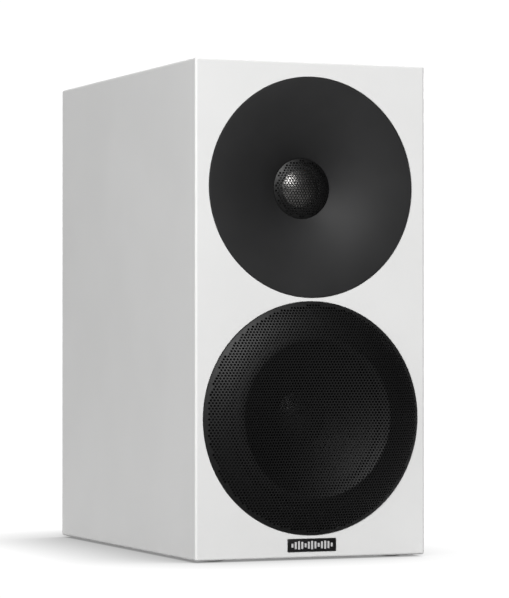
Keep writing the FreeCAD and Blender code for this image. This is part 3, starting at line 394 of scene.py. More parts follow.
def perforated(centre, depth_at, sheet, pitch, hole, low, high, skirt=None):
    """A pressed sheet with a hexagonal field of holes between two radii.

    depth_at gives the depth of the front face at a radius. A skirt is the section that carries the sheet
    on past the field: the radius of the circle round it, then (radius, depth) points that go from the
    front of that circle round the sheet's outer edge to its back.
    """
    cells = hex_cells(pitch, low, high)
    corner_turns = np.radians(30 + 60 * np.arange(6))
    star = np.stack([np.cos(corner_turns), np.sin(corner_turns)], axis=-1)
    corners = cells[:, None, :] + pitch / math.sqrt(3) * star
    keys = np.round(corners.reshape(-1, 2), 3) + 0.0
    shared, index = np.unique(keys, axis=0, return_inverse=True)
    index = index.reshape(-1, 6)
    hole_turns = np.radians(30 + 30 * np.arange(12))
    rounds = cells[:, None, :] + hole / 2 * np.stack([np.cos(hole_turns), np.sin(hole_turns)], axis=-1)
    flat = np.concatenate([shared, rounds.reshape(-1, 2)])
    holes = len(shared) + np.arange(len(cells) * 12).reshape(-1, 12)

    faces = []
    for k in range(6):
        here, after = index[:, k], index[:, (k + 1) % 6]
        first, middle, last = (holes[:, (2 * k + step) % 12] for step in range(3))
        for trio in ((here, middle, first), (here, after, middle), (after, last, middle)):
            faces.append(np.stack(trio, axis=-1))
    faces = np.concatenate(faces)

    edges = np.stack([index, np.roll(index, -1, axis=1)], axis=-1).reshape(-1, 2)
    border = unshared(edges)
    circle = None
    if skirt:
        middles = flat[border].mean(axis=1)
        outside = np.hypot(middles[:, 0], middles[:, 1]) > (max(low, 0) + high) / 2
        flat, web, circle = rim_web(flat, border[outside], skirt[0], cells, pitch)
        faces = np.concatenate([faces, web])
        border = border[~outside]
    behind = len(flat)
    front, back_flat, back = press(flat, depth_at, sheet)
    quads = [walls(holes.reshape(-1), np.roll(holes, -1, axis=1).reshape(-1), behind)]
    quads.append(walls(border[:, 1], border[:, 0], behind))
    verts = to_depth(centre, flat[:, 0], flat[:, 1], front).tolist()
    verts += to_depth(centre, back_flat[:, 0], back_flat[:, 1], back).tolist()
    all_faces = faces.tolist() + (faces[:, ::-1] + behind).tolist() + np.concatenate(quads).tolist()
    if skirt:
        extra_verts, extra_faces = rim_band(centre, circle, behind, len(verts), skirt[1:])
        verts += extra_verts
        all_faces += extra_faces
    return verts, all_faces


def unshared(edges):
    """The edges that belong to one cell only, in the direction in which it has them."""
    keys = np.sort(edges, axis=1)
    _, first, uses = np.unique(keys, axis=0, return_index=True, return_counts=True)
    return edges[first[uses == 1]]


def walls(one, two, behind):
    """Faces between edges of the front and the same edges of the back."""
    return np.stack([one, two, two + behind, one + behind], axis=-1)


def press(flat, depth_at, sheet):
    """Depths of the front face, and places and depths of the back one, a sheet's thickness behind it."""
    step = 0.01
    radius = np.hypot(flat[:, 0], flat[:, 1])
    slope = (depth_at(radius + step) - depth_at(np.maximum(radius - step, 0))) / (2 * step)
    slope = np.where(radius < step, 0, slope)
    scale = sheet / np.sqrt(1 + slope * slope)
    inward = 1 - slope * scale / np.maximum(radius, step)
    front = depth_at(radius)
    return front, flat * inward[:, None], front + scale


def rim_web(flat, border, radius, cells, pitch, steps=240):
    """Triangles between the ragged edge of the field of holes and a circle round it."""
    turn = np.linspace(0, FULL_TURN, steps, endpoint=False)
    circle_spots = radius * np.stack([np.cos(turn), np.sin(turn)], axis=-1)
    used = np.unique(border)
    spots = np.concatenate([flat[used], circle_spots])
    place = {int(vertex): order for order, vertex in enumerate(used)}
    edges = [(place[int(a)], place[int(b)]) for a, b in border]
    edges += [(len(used) + step, len(used) + (step + 1) % steps) for step in range(steps)]
    result = delaunay_2d_cdt([Vector(spot) for spot in spots], edges, [], 0, 1e-6)
    circle = len(flat) + np.arange(steps)
    names = np.concatenate([used, circle])
    source = [inputs[0] for inputs in result[3]]
    row = pitch * math.sqrt(3) / 2
    held = {(round(x / pitch * 2), round(z / row)) for x, z in cells}
    faces = []
    for face in result[2]:
        trio = [source[vertex] for vertex in face]
        x, z = spots[trio].mean(axis=0)
        if math.hypot(x, z) > radius - 3 * pitch and not in_held_cell(x, z, pitch, row, held):
            faces.append([int(names[vertex]) for vertex in trio])
    return np.concatenate([flat, circle_spots]), np.array(faces), circle


def in_held_cell(x, z, pitch, row, held):
    """Whether the hole nearest to a spot is one of those held."""
    best = None
    for j in (math.floor(z / row), math.floor(z / row) + 1):
        i = round(x / pitch - (j % 2) / 2) + (j % 2) / 2
        gap = math.hypot(x - i * pitch, z - j * row)
        if best is None or gap < best[0]:
            best = (gap, (round(i * 2), j))
    return best[1] in held


def rim_band(centre, circle, behind, total, path):
    """The plain rim that goes on from the circle round the holes, along a path to its back."""
    steps = len(circle)
    turn = np.linspace(0, FULL_TURN, steps, endpoint=False)
    verts, faces = [], []
    rings = [circle]
    for radius, depth in path:
        rings.append(total + len(verts) + np.arange(steps))
        verts += to_depth(centre, radius * np.cos(turn), radius * np.sin(turn), depth).tolist()
    rings.append(circle + behind)
    for one, two in zip(rings, rings[1:]):
        after_one, after_two = np.roll(one, -1), np.roll(two, -1)
        faces += np.stack([one, after_one, after_two, two], axis=-1).tolist()
    return verts, faces


# Shader recipes


class Term:
    """One output of a shader node. Arithmetic on it adds Math nodes."""

    def __init__(self, recipe, socket):
        self.recipe = recipe
        self.socket = socket

    def maths(self, operation, first, second=0.0):
        return self.recipe.node("ShaderNodeMath", {"operation": operation}, {0: first, 1: second})

    def __add__(self, other):
        return self.maths("ADD", self, other)

    __radd__ = __add__

    def __sub__(self, other):
        return self.maths("SUBTRACT", self, other)

    def __rsub__(self, other):
        return self.maths("SUBTRACT", other, self)

    def __mul__(self, other):
        return self.maths("MULTIPLY", self, other)

    __rmul__ = __mul__

    def __truediv__(self, other):
        return self.maths("DIVIDE", self, other)

    def wave(self):
        """The sine of it, from 0 to 1."""
        return self.maths("SINE", self) * 0.5 + 0.5

    def held(self, low, high):
        """How far it is from low to high, from 0 to 1."""
        return self.recipe.node(
            "ShaderNodeMapRange", {"clamp": True}, {"Value": self, "From Min": low, "From Max": high}
        )


class Recipe:
    """A material under construction, with a Principled shader at its end."""

    def __init__(self, name):
        self.material = bpy.data.materials.new(name)
        self.material.use_nodes = True
        self.tree = self.material.node_tree
        self.tree.nodes.clear()
        self.output = self.tree.nodes.new("ShaderNodeOutputMaterial")
        self.shader = self.tree.nodes.new("ShaderNodeBsdfPrincipled")
        self.tree.links.new(self.shader.outputs[0], self.output.inputs[0])
        spot = self.node("ShaderNodeTexCoord", output="Object")
        self.place = self.vector("SCALE", spot, scale=1 / MM)

    def node(self, kind, settings=None, inputs=None, output=0):
        """Adds a node, sets it, then fills or links its sockets. Gives one of its outputs."""
        made = self.tree.nodes.new(kind)
        for name, setting in (settings or {}).items():
            setattr(made, name, setting)
        for name, given in (inputs or {}).items():
            self.fill(made.inputs[name], given)
        return Term(self, made.outputs[output])

    def fill(self, socket, given):
        if isinstance(given, Term):
            self.tree.links.new(given.socket, socket)
        else:
            socket.default_value = given

    def vector(self, operation, first, second=None, scale=None, output=0):
        inputs = {0: first}
        if second is not None:
            inputs[1] = second
        if scale is not None:
            inputs["Scale"] = scale
        return self.node("ShaderNodeVectorMath", {"operation": operation}, inputs, output)

    def part(self, axis, place=None):
        """One coordinate, in millimetres."""
        return self.node("ShaderNodeSeparateXYZ", inputs={0: place or self.place}, output=axis)

    def radius(self, centre, axis=1):
        """Distance from an axis through centre, in millimetres."""
        offset = self.vector("SUBTRACT", self.place, [c / MM for c in centre])
        flat = self.vector("MULTIPLY", offset, [float(index != axis) for index in range(3)])
        return self.vector("LENGTH", flat, output="Value")

    def speckle(self, size, fine=2.0, stretch=(1.0, 1.0, 1.0)):
        """Cloudy noise from 0 to 1 whose features are about size millimetres across."""
        place = self.vector("MULTIPLY", self.place, stretch)
        return self.node("ShaderNodeTexNoise", inputs={"Vector": place, "Scale": 1 / size, "Detail": fine})

    def grains(self, size, feature="F1"):
        """Distance to the nearest of scattered grains that are size millimetres apart."""
        inputs = {"Vector": self.place, "Scale": 1 / size}
        return self.node("ShaderNodeTexVoronoi", {"feature": feature}, inputs, "Distance")

    def tint(self, factor, low, high):
        """A colour between two."""
        inputs = {0: factor, 6: low, 7: high}
        return self.node("ShaderNodeMix", {"data_type": "RGBA"}, inputs, 2)

    def relief(self, height, depth):
        """A normal from a height of 0 to 1 that stands for depth millimetres."""
        return self.node("ShaderNodeBump", inputs={"Height": height, "Distance": depth * MM, "Strength": 1.0})

    def done(self, **sockets):
        """Fills the shader's sockets, named with underscores for spaces."""
        for name, given in sockets.items():
            self.fill(self.shader.inputs[name.replace("_", " ")], given)
        return self.material


def shade(tint, factor):
    """A colour made lighter or darker."""
    return [min(1.0, channel * factor) for channel in tint[:3]] + [1.0]


def grey(level):
    return [level, level, level, 1.0]


# Finishes. Each makes the material of one slot of the record.


def lacquer(recipe):
    """Satin lacquer over board, with the faint orange peel of a sprayed coat."""
    look = finishes()
    cloud = recipe.speckle(60.0)
    peel = recipe.speckle(1.6, 1.0)
    dust = recipe.grains(5.0).held(0.16, 0.06)
    colour_now = recipe.tint(cloud.held(0.35, 0.65), shade(look.lacquer, 0.985), shade(look.lacquer, 1.01))
    return recipe.done(
        Base_Color=colour_now,
        Roughness=look.lacquer_roughness + 0.06 * cloud + 0.03 * dust,
        Specular_IOR_Level=0.5,
        Coat_Weight=0.18,
        Coat_Roughness=0.22,
        Normal=recipe.relief(peel, 0.012),
    )


def fibreboard(recipe):
    """Bare board: pressed brown fibres, all ways at once."""
    fibres = recipe.speckle(1.2, 6.0, (1.0, 0.35, 1.0))
    cloud = recipe.speckle(14.0)
    mixed = (fibres * 0.7 + cloud * 0.3).held(0.3, 0.7)
    return recipe.done(
        Base_Color=recipe.tint(mixed, [0.24, 0.15, 0.085, 1.0], [0.42, 0.29, 0.18, 1.0]),
        Roughness=0.82 + 0.1 * fibres,
        Normal=recipe.relief(fibres, 0.12),
    )


def wadding(recipe):
    """Off-white polyester wool with loose strands."""
    strands = recipe.speckle(1.5, 8.0, (1.0, 0.25, 0.8))
    clumps = recipe.speckle(11.0, 3.0)
    mixed = (strands * 0.6 + clumps * 0.4).held(0.3, 0.7)
    return recipe.done(
        Base_Color=recipe.tint(mixed, [0.52, 0.51, 0.47, 1.0], [0.80, 0.79, 0.75, 1.0]),
        Roughness=0.9 + 0.08 * strands,
        Sheen_Weight=0.35,
        Normal=recipe.relief(mixed, 0.7),
    )


def moulded(recipe, tint, roughness, grain=0.35, depth=0.012):
    """Injection-moulded plastic with a spark-eroded grain."""
    texture = recipe.speckle(grain, 3.0)
    cloud = recipe.speckle(9.0)
    return recipe.done(
        Base_Color=recipe.tint(cloud.held(0.3, 0.7), shade(tint, 0.92), shade(tint, 1.1)),
        Roughness=roughness + 0.08 * texture + 0.03 * cloud,
        Specular_IOR_Level=0.5,
        Normal=recipe.relief(texture, depth),
    )


def waveguide_plastic(recipe):
    """Fine-grained black plastic, with the faint rings of its turned mould."""
    look = finishes()
    texture = recipe.speckle(0.4, 3.0)
    cloud = recipe.speckle(22.0)
    rings = (recipe.radius(TWEETER) * 9.0).wave()
    return recipe.done(
        Base_Color=recipe.tint(cloud.held(0.3, 0.7), shade(look.waveguide, 0.9), shade(look.waveguide, 1.12)),
        Roughness=look.waveguide_roughness + 0.07 * texture + 0.02 * rings,
        Specular_IOR_Level=0.38,
        Normal=recipe.relief(texture * 0.85 + rings * 0.15, 0.010),
    )


def coated_steel(recipe, base, roughness=0.5):
    """Powder coat: tiny rounded bumps, a little paler where it thins over edges."""
    bumps = recipe.grains(0.28)
    cloud = recipe.speckle(6.0)
    worn = recipe.node("ShaderNodeNewGeometry", output="Pointiness").held(0.51, 0.56)
    return recipe.done(
        Base_Color=recipe.tint(worn * 0.6 + cloud * 0.2, shade(base, 0.9), shade(base, 2.4)),
        Roughness=roughness + 0.12 * bumps + 0.05 * cloud,
        Specular_IOR_Level=0.37,
        Normal=recipe.relief(bumps, 0.012),
    )


def black_grille(recipe):
    return coated_steel(recipe, finishes().grille, 0.44)


def black_mesh(recipe):
    return coated_steel(recipe, finishes().grille, 0.40)


def cast_frame(recipe):
    """Painted die-casting with a slightly pebbled skin."""
    pebble = recipe.grains(0.9, "SMOOTH_F1")
    cloud = recipe.speckle(12.0)
    return recipe.done(
        Base_Color=recipe.tint(cloud.held(0.3, 0.7), grey(0.004), grey(0.009)),
        Roughness=0.48 + 0.16 * pebble,
        Specular_IOR_Level=0.3,
        Normal=recipe.relief(pebble, 0.03),
    )


def metal(recipe, tint, roughness, scale=0.5, stretch=(1.0, 1.0, 1.0), depth=0.004):
    """Bare or plated metal with fine working marks."""
    marks = recipe.speckle(scale, 4.0, stretch)
    cloud = recipe.speckle(7.0)
    return recipe.done(
        Base_Color=recipe.tint(cloud.held(0.3, 0.7), shade(tint, 0.86), shade(tint, 1.08)),
        Metallic=1.0,
        Roughness=roughness + 0.14 * marks + 0.05 * cloud,
        Normal=recipe.relief(marks, depth),
    )


def magnet_metal(recipe):
    """Black nickel plate."""
    return metal(recipe, (0.075, 0.075, 0.08), 0.34)


def zinc_steel(recipe):
    return metal(recipe, (0.60, 0.61, 0.62), 0.30, 1.1, (1.0, 0.2, 1.0), 0.008)


def gold_plate(recipe):
    return metal(recipe, (0.86, 0.61, 0.24), 0.18, 0.4, (1.0, 0.3, 1.0), 0.003)


def titanium(recipe):
    """Spun metal sheet with the fine circles of its drawing."""
    circles = (recipe.radius(TWEETER) * 24.0).wave()
    cloud = recipe.speckle(3.0)
    look = finishes()
    return recipe.done(
        Base_Color=recipe.tint(cloud.held(0.3, 0.7), shade(look.metal, 0.92), shade(look.metal, 1.06)),
        Metallic=1.0,
        Roughness=0.30 + 0.07 * circles + 0.05 * cloud,
        Normal=recipe.relief(circles, 0.002),
    )


def black_screw(recipe):
    return metal(recipe, (0.035, 0.035, 0.038), 0.34, 0.3)


def soft_rubber(recipe, tint, roughness=0.62, grain=0.5):
    """Moulded rubber with a bloom of paler dust."""
    bloom = recipe.speckle(5.0, 5.0)
    texture = recipe.speckle(grain, 4.0)
    return recipe.done(
        Base_Color=recipe.tint(bloom.held(0.35, 0.8), shade(tint, 0.9), shade(tint, 1.9)),
        Roughness=roughness + 0.14 * bloom,
        Specular_IOR_Level=0.28,
        Normal=recipe.relief(texture, 0.018),
    )


def rubber(recipe):
    return soft_rubber(recipe, (0.022, 0.022, 0.023))


def surround_rubber(recipe):
    return soft_rubber(recipe, (0.0035, 0.0035, 0.0038), 0.52, 0.35)


def woven(recipe, low, high, thread, roughness=0.85, depth=0.06):
    """Plain weave of round threads that lie across each other, with painted shade that darkens each thread
    towards its edges.
    """
    across = (recipe.part("X") * (FULL_TURN / thread)).wave()
    up = (recipe.part("Z") * (FULL_TURN / thread)).wave()
    checks = {"Vector": recipe.place, "Scale": 2 / thread}
    over = recipe.node("ShaderNodeTexChecker", inputs=checks, output="Fac")
    threads = across * over + up * (1 - over)
    stain = recipe.speckle(6.0)
    return recipe.done(
        # Painted shade: the colour darkens from each thread's crown towards its edges
        Base_Color=recipe.tint(threads * 0.7 + stain * 0.3, low, high),
        Roughness=roughness + 0.08 * threads,
        Normal=recipe.relief(threads, depth),
    )


def spider_cloth(recipe):
    return woven(recipe, [0.20, 0.11, 0.045, 1.0], [0.46, 0.30, 0.14, 1.0], 0.55)


def dome_cloth(recipe):
    return woven(recipe, grey(0.012), grey(0.035), 0.28, 0.6, 0.02)


def cone(recipe):
    """Filled polymer cone: pale flecks in black, and rings from the press."""
    flecks = recipe.grains(1.1).held(0.22, 0.1)
    rings = (recipe.radius(WOOFER) * 2.2).wave()
    cloud = recipe.speckle(10.0)
    return recipe.done(
        Base_Color=recipe.tint(flecks * 0.5 + cloud * 0.3, grey(0.003), grey(0.012)),
        Roughness=0.48 + 0.1 * cloud + 0.05 * rings,
        Specular_IOR_Level=0.25,
        Normal=recipe.relief(rings * 0.6 + flecks * 0.4, 0.02),
    )


def dust_cap(recipe):
    """Smooth pressed cap, glossier than the cone."""
    cloud = recipe.speckle(4.0, 4.0)
    rings = (recipe.radius(WOOFER) * 5.0).wave()
    return recipe.done(
        Base_Color=recipe.tint(cloud.held(0.3, 0.7), grey(0.010), grey(0.018)),
        Roughness=0.30 + 0.08 * cloud,
        Normal=recipe.relief(rings, 0.004),
    )


def ferrite(recipe):
    """Sintered ceramic magnet: dark, dry and finely pitted."""
    pits = recipe.grains(0.6)
    cloud = recipe.speckle(5.0, 4.0)
    return recipe.done(
        Base_Color=recipe.tint(cloud.held(0.3, 0.7), grey(0.030), grey(0.060)),
        Roughness=0.62 + 0.2 * pits,
        Normal=recipe.relief(pits, 0.05),
    )


def gasket_foam(recipe):
    """Closed-cell foam: bubbles cut open at its skin, painted darker inside as shade."""
    bubbles = recipe.grains(0.45)
    cloud = recipe.speckle(4.0)
    return recipe.done(
        # Painted shade: the colour darkens inside each opened bubble
        Base_Color=recipe.tint(bubbles.held(0.1, 0.6), grey(0.012), grey(0.045)),
        Roughness=0.85 + 0.1 * cloud,
        Normal=recipe.relief(bubbles, 0.09),
    )


def terminal_strip(recipe):
    """Brown resin board with tinned tags."""
    layers = (recipe.part("Y") * 14.0 + recipe.speckle(3.0) * 3.0).wave()
    return recipe.done(
        Base_Color=recipe.tint(layers, [0.10, 0.05, 0.02, 1.0], [0.20, 0.11, 0.05, 1.0]),
        Roughness=0.45 + 0.15 * layers,
        Normal=recipe.relief(layers, 0.01),
    )


def braid(recipe, low, high, pitch, metallic):
    """Fine strands that wind round a lead, with painted shade that darkens each strand towards its edges."""
    strands = ((recipe.part("X") + recipe.part("Y") + recipe.part("Z")) * (FULL_TURN / pitch)).wave()
    cloud = recipe.speckle(1.5)
    return recipe.done(
        # Painted shade: the colour darkens from each strand's crown towards its edges
        Base_Color=recipe.tint(strands * 0.7 + cloud * 0.3, low, high),
        Metallic=metallic,
        Roughness=0.34 + 0.2 * strands,
        Normal=recipe.relief(strands, 0.05),
    )


def tinsel(recipe):
    return braid(recipe, [0.36, 0.17, 0.08, 1.0], [0.80, 0.46, 0.27, 1.0], 0.45, 1.0)


def copper_wire(recipe):
    """Enamelled wire in close turns, with painted shade that darkens the copper in the grooves between them.
    """
    turns = ((recipe.part("Z") + recipe.part("Y") * 0.12) * (FULL_TURN / 0.9)).wave()
    cloud = recipe.speckle(4.0)
    return recipe.done(
        # Painted shade: the copper is darker in the grooves between turns and lighter on their crowns
        Base_Color=recipe.tint(turns * 0.7 + cloud * 0.3, [0.26, 0.09, 0.03, 1.0], [0.74, 0.34, 0.14, 1.0]),
        Metallic=0.9,
        Roughness=0.26 + 0.1 * cloud,
        Coat_Weight=0.5,
        Normal=recipe.relief(turns, 0.12),
    )


def lead_cover(recipe, tint):
    """Soft PVC cover with faint twist marks of the strands inside it."""
    twist = ((recipe.part("Z") + recipe.part("X") * 0.6 + recipe.part("Y") * 0.6) * 1.4).wave()
    cloud = recipe.speckle(3.0)
    return recipe.done(
        Base_Color=recipe.tint(cloud.held(0.3, 0.7), shade(tint, 0.85), shade(tint, 1.15)),
        Roughness=0.42 + 0.1 * cloud,
        Normal=recipe.relief(twist, 0.03),
    )


def lead_input(recipe):
    return lead_cover(recipe, (0.30, 0.02, 0.015))


def lead_woofer(recipe):
    return lead_cover(recipe, (0.03, 0.06, 0.25))


def lead_tweeter(recipe):
    return lead_cover(recipe, (0.50, 0.33, 0.03))


def circuit_board(recipe):
    """Green solder mask over square-cornered copper tracks."""
    tracks = recipe.node(
        "ShaderNodeTexBrick", {"offset": 0.37},
        {"Vector": recipe.place, "Scale": 0.1, "Mortar Size": 0.045, "Mortar Smooth": 0.2}, "Fac")
    cloud = recipe.speckle(8.0)
    mixed = tracks * 0.8 + cloud * 0.2
    return recipe.done(
        Base_Color=recipe.tint(mixed, [0.012, 0.10, 0.035, 1.0], [0.05, 0.24, 0.08, 1.0]),
        Roughness=0.30 + 0.12 * cloud,
        Coat_Weight=0.3,
        Normal=recipe.relief(tracks, 0.05),
    )


def capacitor_film(recipe):
    """Yellow tape round a wound film, with the seam lines of its turns."""
    seams = (recipe.part("X") * 3.0 + recipe.speckle(6.0) * 2.0).wave()
    cloud = recipe.speckle(5.0)
    return recipe.done(
        Base_Color=recipe.tint(seams * 0.5 + cloud * 0.5, [0.52, 0.36, 0.05, 1.0], [0.78, 0.60, 0.12, 1.0]),
        Roughness=0.28 + 0.1 * cloud,
        Normal=recipe.relief(seams, 0.02),
    )


def ceramic(recipe):
    """White cement body with pin holes, painted darker inside as shade."""
    holes = recipe.grains(1.3).held(0.2, 0.35)
    cloud = recipe.speckle(3.0, 4.0)
    return recipe.done(
        # Painted shade: the colour darkens inside each pin hole
        Base_Color=recipe.tint(holes * 0.6 + cloud * 0.4, [0.45, 0.43, 0.39, 1.0], [0.76, 0.75, 0.72, 1.0]),
        Roughness=0.78 + 0.1 * cloud,
        Normal=recipe.relief(holes, 0.09),
    )


def former(recipe):
    """Thin amber film former with its wrap lines."""
    wraps = (recipe.part("Y") * 6.0 + recipe.speckle(5.0)).wave()
    return recipe.done(
        Base_Color=recipe.tint(wraps, [0.35, 0.15, 0.03, 1.0], [0.62, 0.32, 0.08, 1.0]),
        Roughness=0.25 + 0.1 * wraps,
        Normal=recipe.relief(wraps, 0.01),
    )


def badge(recipe):
    """Anodised plate, brushed lengthways."""
    brushed = recipe.speckle(0.35, 4.0, (0.06, 1.0, 1.0))
    cloud = recipe.speckle(6.0)
    return recipe.done(
        Base_Color=recipe.tint(cloud.held(0.3, 0.7), grey(0.003), grey(0.007)),
        Metallic=0.3,
        Roughness=0.34 + 0.14 * brushed,
        Normal=recipe.relief(brushed, 0.006),
    )


def badge_mark(recipe):
    """Pale print, a little uneven."""
    tone = finishes().badge_mark
    cloud = recipe.speckle(1.5)
    return recipe.done(
        Base_Color=recipe.tint(cloud, shade(tone, 0.85), shade(tone, 1.05)),
        Roughness=0.4 + 0.1 * cloud,
    )


FINISHES = {
    "lacquer": lacquer,
    "fibreboard": fibreboard,
    "wadding": wadding,
    "rubber": rubber,
    "badge": badge,
    "cast_frame": cast_frame,
    "magnet_metal": magnet_metal,
    "surround_rubber": surround_rubber,
    "spider_cloth": spider_cloth,
    "zinc_steel": zinc_steel,
    "ferrite": ferrite,
    "gasket_foam": gasket_foam,
    "black_screw": black_screw,
    "terminal_strip": terminal_strip,
    "tinsel": tinsel,
    "waveguide_plastic": waveguide_plastic,
    "black_mesh": black_mesh,
    "black_grille": black_grille,
    "black_plastic": lambda recipe: moulded(recipe, (0.016, 0.016, 0.017), 0.46),
    "dome_cloth": dome_cloth,
    "titanium": titanium,
    "port_plastic": lambda recipe: moulded(recipe, (0.013, 0.013, 0.014), 0.42, 0.5, 0.02),
    "gold_plate": gold_plate,
    "red_plastic": lambda recipe: moulded(recipe, (0.46, 0.012, 0.010), 0.26, 0.6, 0.006),
    "post_black_plastic": lambda recipe: moulded(recipe, (0.014, 0.014, 0.015), 0.26, 0.6, 0.006),
    "lead_input": lead_input,
    "lead_woofer": lead_woofer,
    "lead_tweeter": lead_tweeter,
    "circuit_board": circuit_board,
    "nylon": lambda recipe: moulded(recipe, (0.62, 0.61, 0.57), 0.44, 0.5, 0.01),
    "copper_wire": copper_wire,
    "capacitor_film": capacitor_film,
    "ceramic": ceramic,
    "cone": cone,
    "dust_cap": dust_cap,
    "former": former,
}


def finish_for(slot):
    """The material of a slot, made once."""
    held = bpy.data.materials.get("speaker_" + slot)
    return held or FINISHES[slot](Recipe("speaker_" + slot))


# Pieces


class SpeakerStep:
    """What every step of the build shares."""

    bl_options = {"REGISTER", "UNDO"}

    def execute(self, context):
        self.make()
        return {"FINISHED"}


class SPEAKER_OT_carcass(SpeakerStep, bpy.types.Operator):
    """Finish every CAD node: the panels and whatever no other step replaces"""

    bl_idname = "speaker.carcass"
    bl_label = "Cabinet and CAD finishes"

    def make(self):
        for node, item in frame["nodes"].items():
            for index in range(len(item.material_slots)):
                item.material_slots[index].material = finish_for(SLOT_OF[node])


class SPEAKER_OT_waveguide(SpeakerStep, bpy.types.Operator):
    """Turn the moulded waveguide round the tweeter"""

    bl_idname = "speaker.waveguide"
    bl_label = "Waveguide"

    LIP = 3.5
    SEAT = 57.0
    THROAT = 19.8
    THROAT_DEPTH = 17.0
    LAND = 20.0
    FLARE = (40.0, 5.9)
    BOSS = 37.0
    EDGE = 0.45

    def make(self):
        radius = WAVEGUIDE_RADIUS
        flare = arc((self.THROAT, self.THROAT_DEPTH), self.FLARE, (radius, 0.0), 72)
        flare = [point for point in flare if point[0] < radius - 1.2]
        profile = [(self.THROAT, self.LAND, 0.0)]
        profile += [(r, d, 0.0) for r, d in flare]
        profile += [
            (radius, 0.0, self.EDGE),
            (radius, self.LIP, 0.3),
            (self.SEAT, self.LIP, 0.3),
            (self.SEAT - 6, self.LIP + 6, 0.3),
            (self.BOSS, self.THROAT_DEPTH, 0.3),
            (self.BOSS, self.LAND, 0.3),
        ]
        verts, faces = spun(TWEETER, eased(profile, 0.0), detail().segments)
        solid_piece("waveguide_horn", verts, faces, ["waveguide"])


class SPEAKER_OT_tweeter(SpeakerStep, bpy.types.Operator):
    """Make the perforated guard, the metal dome and its cloth surround"""

    bl_idname = "speaker.tweeter"
    bl_label = "Tweeter"

    RISE = 5.2
    DOME_RISE = 4.3
    DOME_SHEET = 0.25
    ROLL = 1.5

    def make(self):
        self.guard()
        self.dome()
        self.surround()

    def guard(self):
        sizes = grilles()
        metres = (sizes.tweeter_sheet, sizes.tweeter_pitch, sizes.tweeter_hole)
        sheet, pitch, hole = (value / MM for value in metres)
        radius = reach_of("tweeter_grille")
        front, back = (depth_of("tweeter_grille", end) for end in (0, 1))
        ball = (radius**2 + self.RISE**2) / (2 * self.RISE)
        shoulder = front + self.RISE
        field = radius - 0.25

        def depth_at(r):
            return front + ball - np.sqrt(ball * ball - np.minimum(r, radius) ** 2)

        edge = [
            (field + 0.2, depth_at(field + 0.2)),
            (radius, shoulder),
            (radius, back),
            (radius - sheet, back),
            (radius - sheet, shoulder + sheet),
        ]
        skirt = [field] + eased(edge, 0.25, closed=False)
        mesh = perforated(TWEETER, depth_at, sheet, pitch, hole, -1.0, field - pitch * 0.59, skirt)
        solid_piece("tweeter_guard", *mesh, ["tweeter_grille"])

    def dome(self):
        radius = reach_of("tweeter_dome")
        front, back = (depth_of("tweeter_dome", end) for end in (0, 1))
        base = back - self.DOME_SHEET
        ball = (radius**2 + self.DOME_RISE**2) / (2 * self.DOME_RISE)
        steps = 28
        outer = [(radius * step / steps, 0) for step in range(steps + 1)]
        outer = [(r, front + ball - math.sqrt(ball * ball - r * r)) for r, _ in outer]
        inner = [(r, d + self.DOME_SHEET) for r, d in reversed(outer)]
        verts, faces = spun(TWEETER, outer + inner, 144)
        solid_piece("tweeter_dome_shell", verts, faces, ["tweeter_dome"])

    def surround(self):
        outer = reach_of("tweeter_surround")
        back = depth_of("tweeter_surround", 1)
        front = back - self.DOME_SHEET
        inner = reach_of("tweeter_dome") + 0.1
        edge = outer - 1.9
        middle = (inner + edge) / 2
        profile = arc((inner, front), (middle, front - self.ROLL), (edge, front), 20)
        profile += [(edge, front), (outer, front), (outer, back)]
        profile += arc((edge - 0.25, back), (middle, back - self.ROLL), (inner + 0.25, back), 20)
        profile += [(inner + 0.25, back), (inner, back)]
        verts, faces = spun(TWEETER, profile, 144)
        piece = new_piece("tweeter_edge_roll", verts, faces, ["tweeter_surround"])
        set_radial_blend(piece, TWEETER, edge, inner)


class SPEAKER_OT_woofer_grille(SpeakerStep, bpy.types.Operator):
    """Press the perforated cover of the woofer: a shoulder, a crease and a bowl"""

    bl_idname = "speaker.woofer_grille"
    bl_label = "Woofer grille"

    SHOULDER_WIDTH = 24.25
    SHOULDER_INSET = 11.25
    SHOULDER_RISE = 6.7
    RIM_FRONT = 0.5
    BOWL = 9.0

    def make(self):
        sizes = grilles()
        metres = (sizes.woofer_sheet, sizes.woofer_pitch, sizes.woofer_hole)
        sheet, pitch, hole = (value / MM for value in metres)
        rise = -depth_of("woofer_grille", 0)
        crease = GRILLE_RADIUS - self.SHOULDER_WIDTH
        field = GRILLE_RADIUS - sizes.woofer_rim / MM
        via = (GRILLE_RADIUS - self.SHOULDER_INSET, -self.SHOULDER_RISE)
        points = arc((crease, -rise), via, (GRILLE_RADIUS, -self.RIM_FRONT), 64)
        radii, depths = np.array(points + [(GRILLE_RADIUS, -self.RIM_FRONT)]).T
        ball = (crease**2 + self.BOWL**2) / (2 * self.BOWL)

        def depth_at(r):
            bowl = -rise + self.BOWL - ball + np.sqrt(ball * ball - np.minimum(r, crease) ** 2)
            return np.where(r < crease, bowl, np.interp(r, radii, depths))

        bowl = perforated(WOOFER, depth_at, sheet, pitch, hole, -1.0, crease)
        back = depth_of("woofer_grille", 1)
        edge = [
            (field + 0.4, float(depth_at(field + 0.4))),
            (GRILLE_RADIUS, -self.RIM_FRONT),
            (GRILLE_RADIUS, back),
            (GRILLE_RADIUS - sheet, back),
            (GRILLE_RADIUS - sheet - 0.5, float(depth_at(GRILLE_RADIUS - 1.6)) + sheet),
        ]
        skirt = [field] + eased(edge, 0.3, closed=False)
        shoulder = perforated(WOOFER, depth_at, sheet, pitch, hole, crease, field - pitch * 0.6, skirt)
        solid_piece("woofer_grille_bowl", *bowl, ["woofer_grille"], fix_normals=False)
        solid_piece("woofer_grille_shoulder", *shoulder, ["woofer_grille"], fix_normals=False)


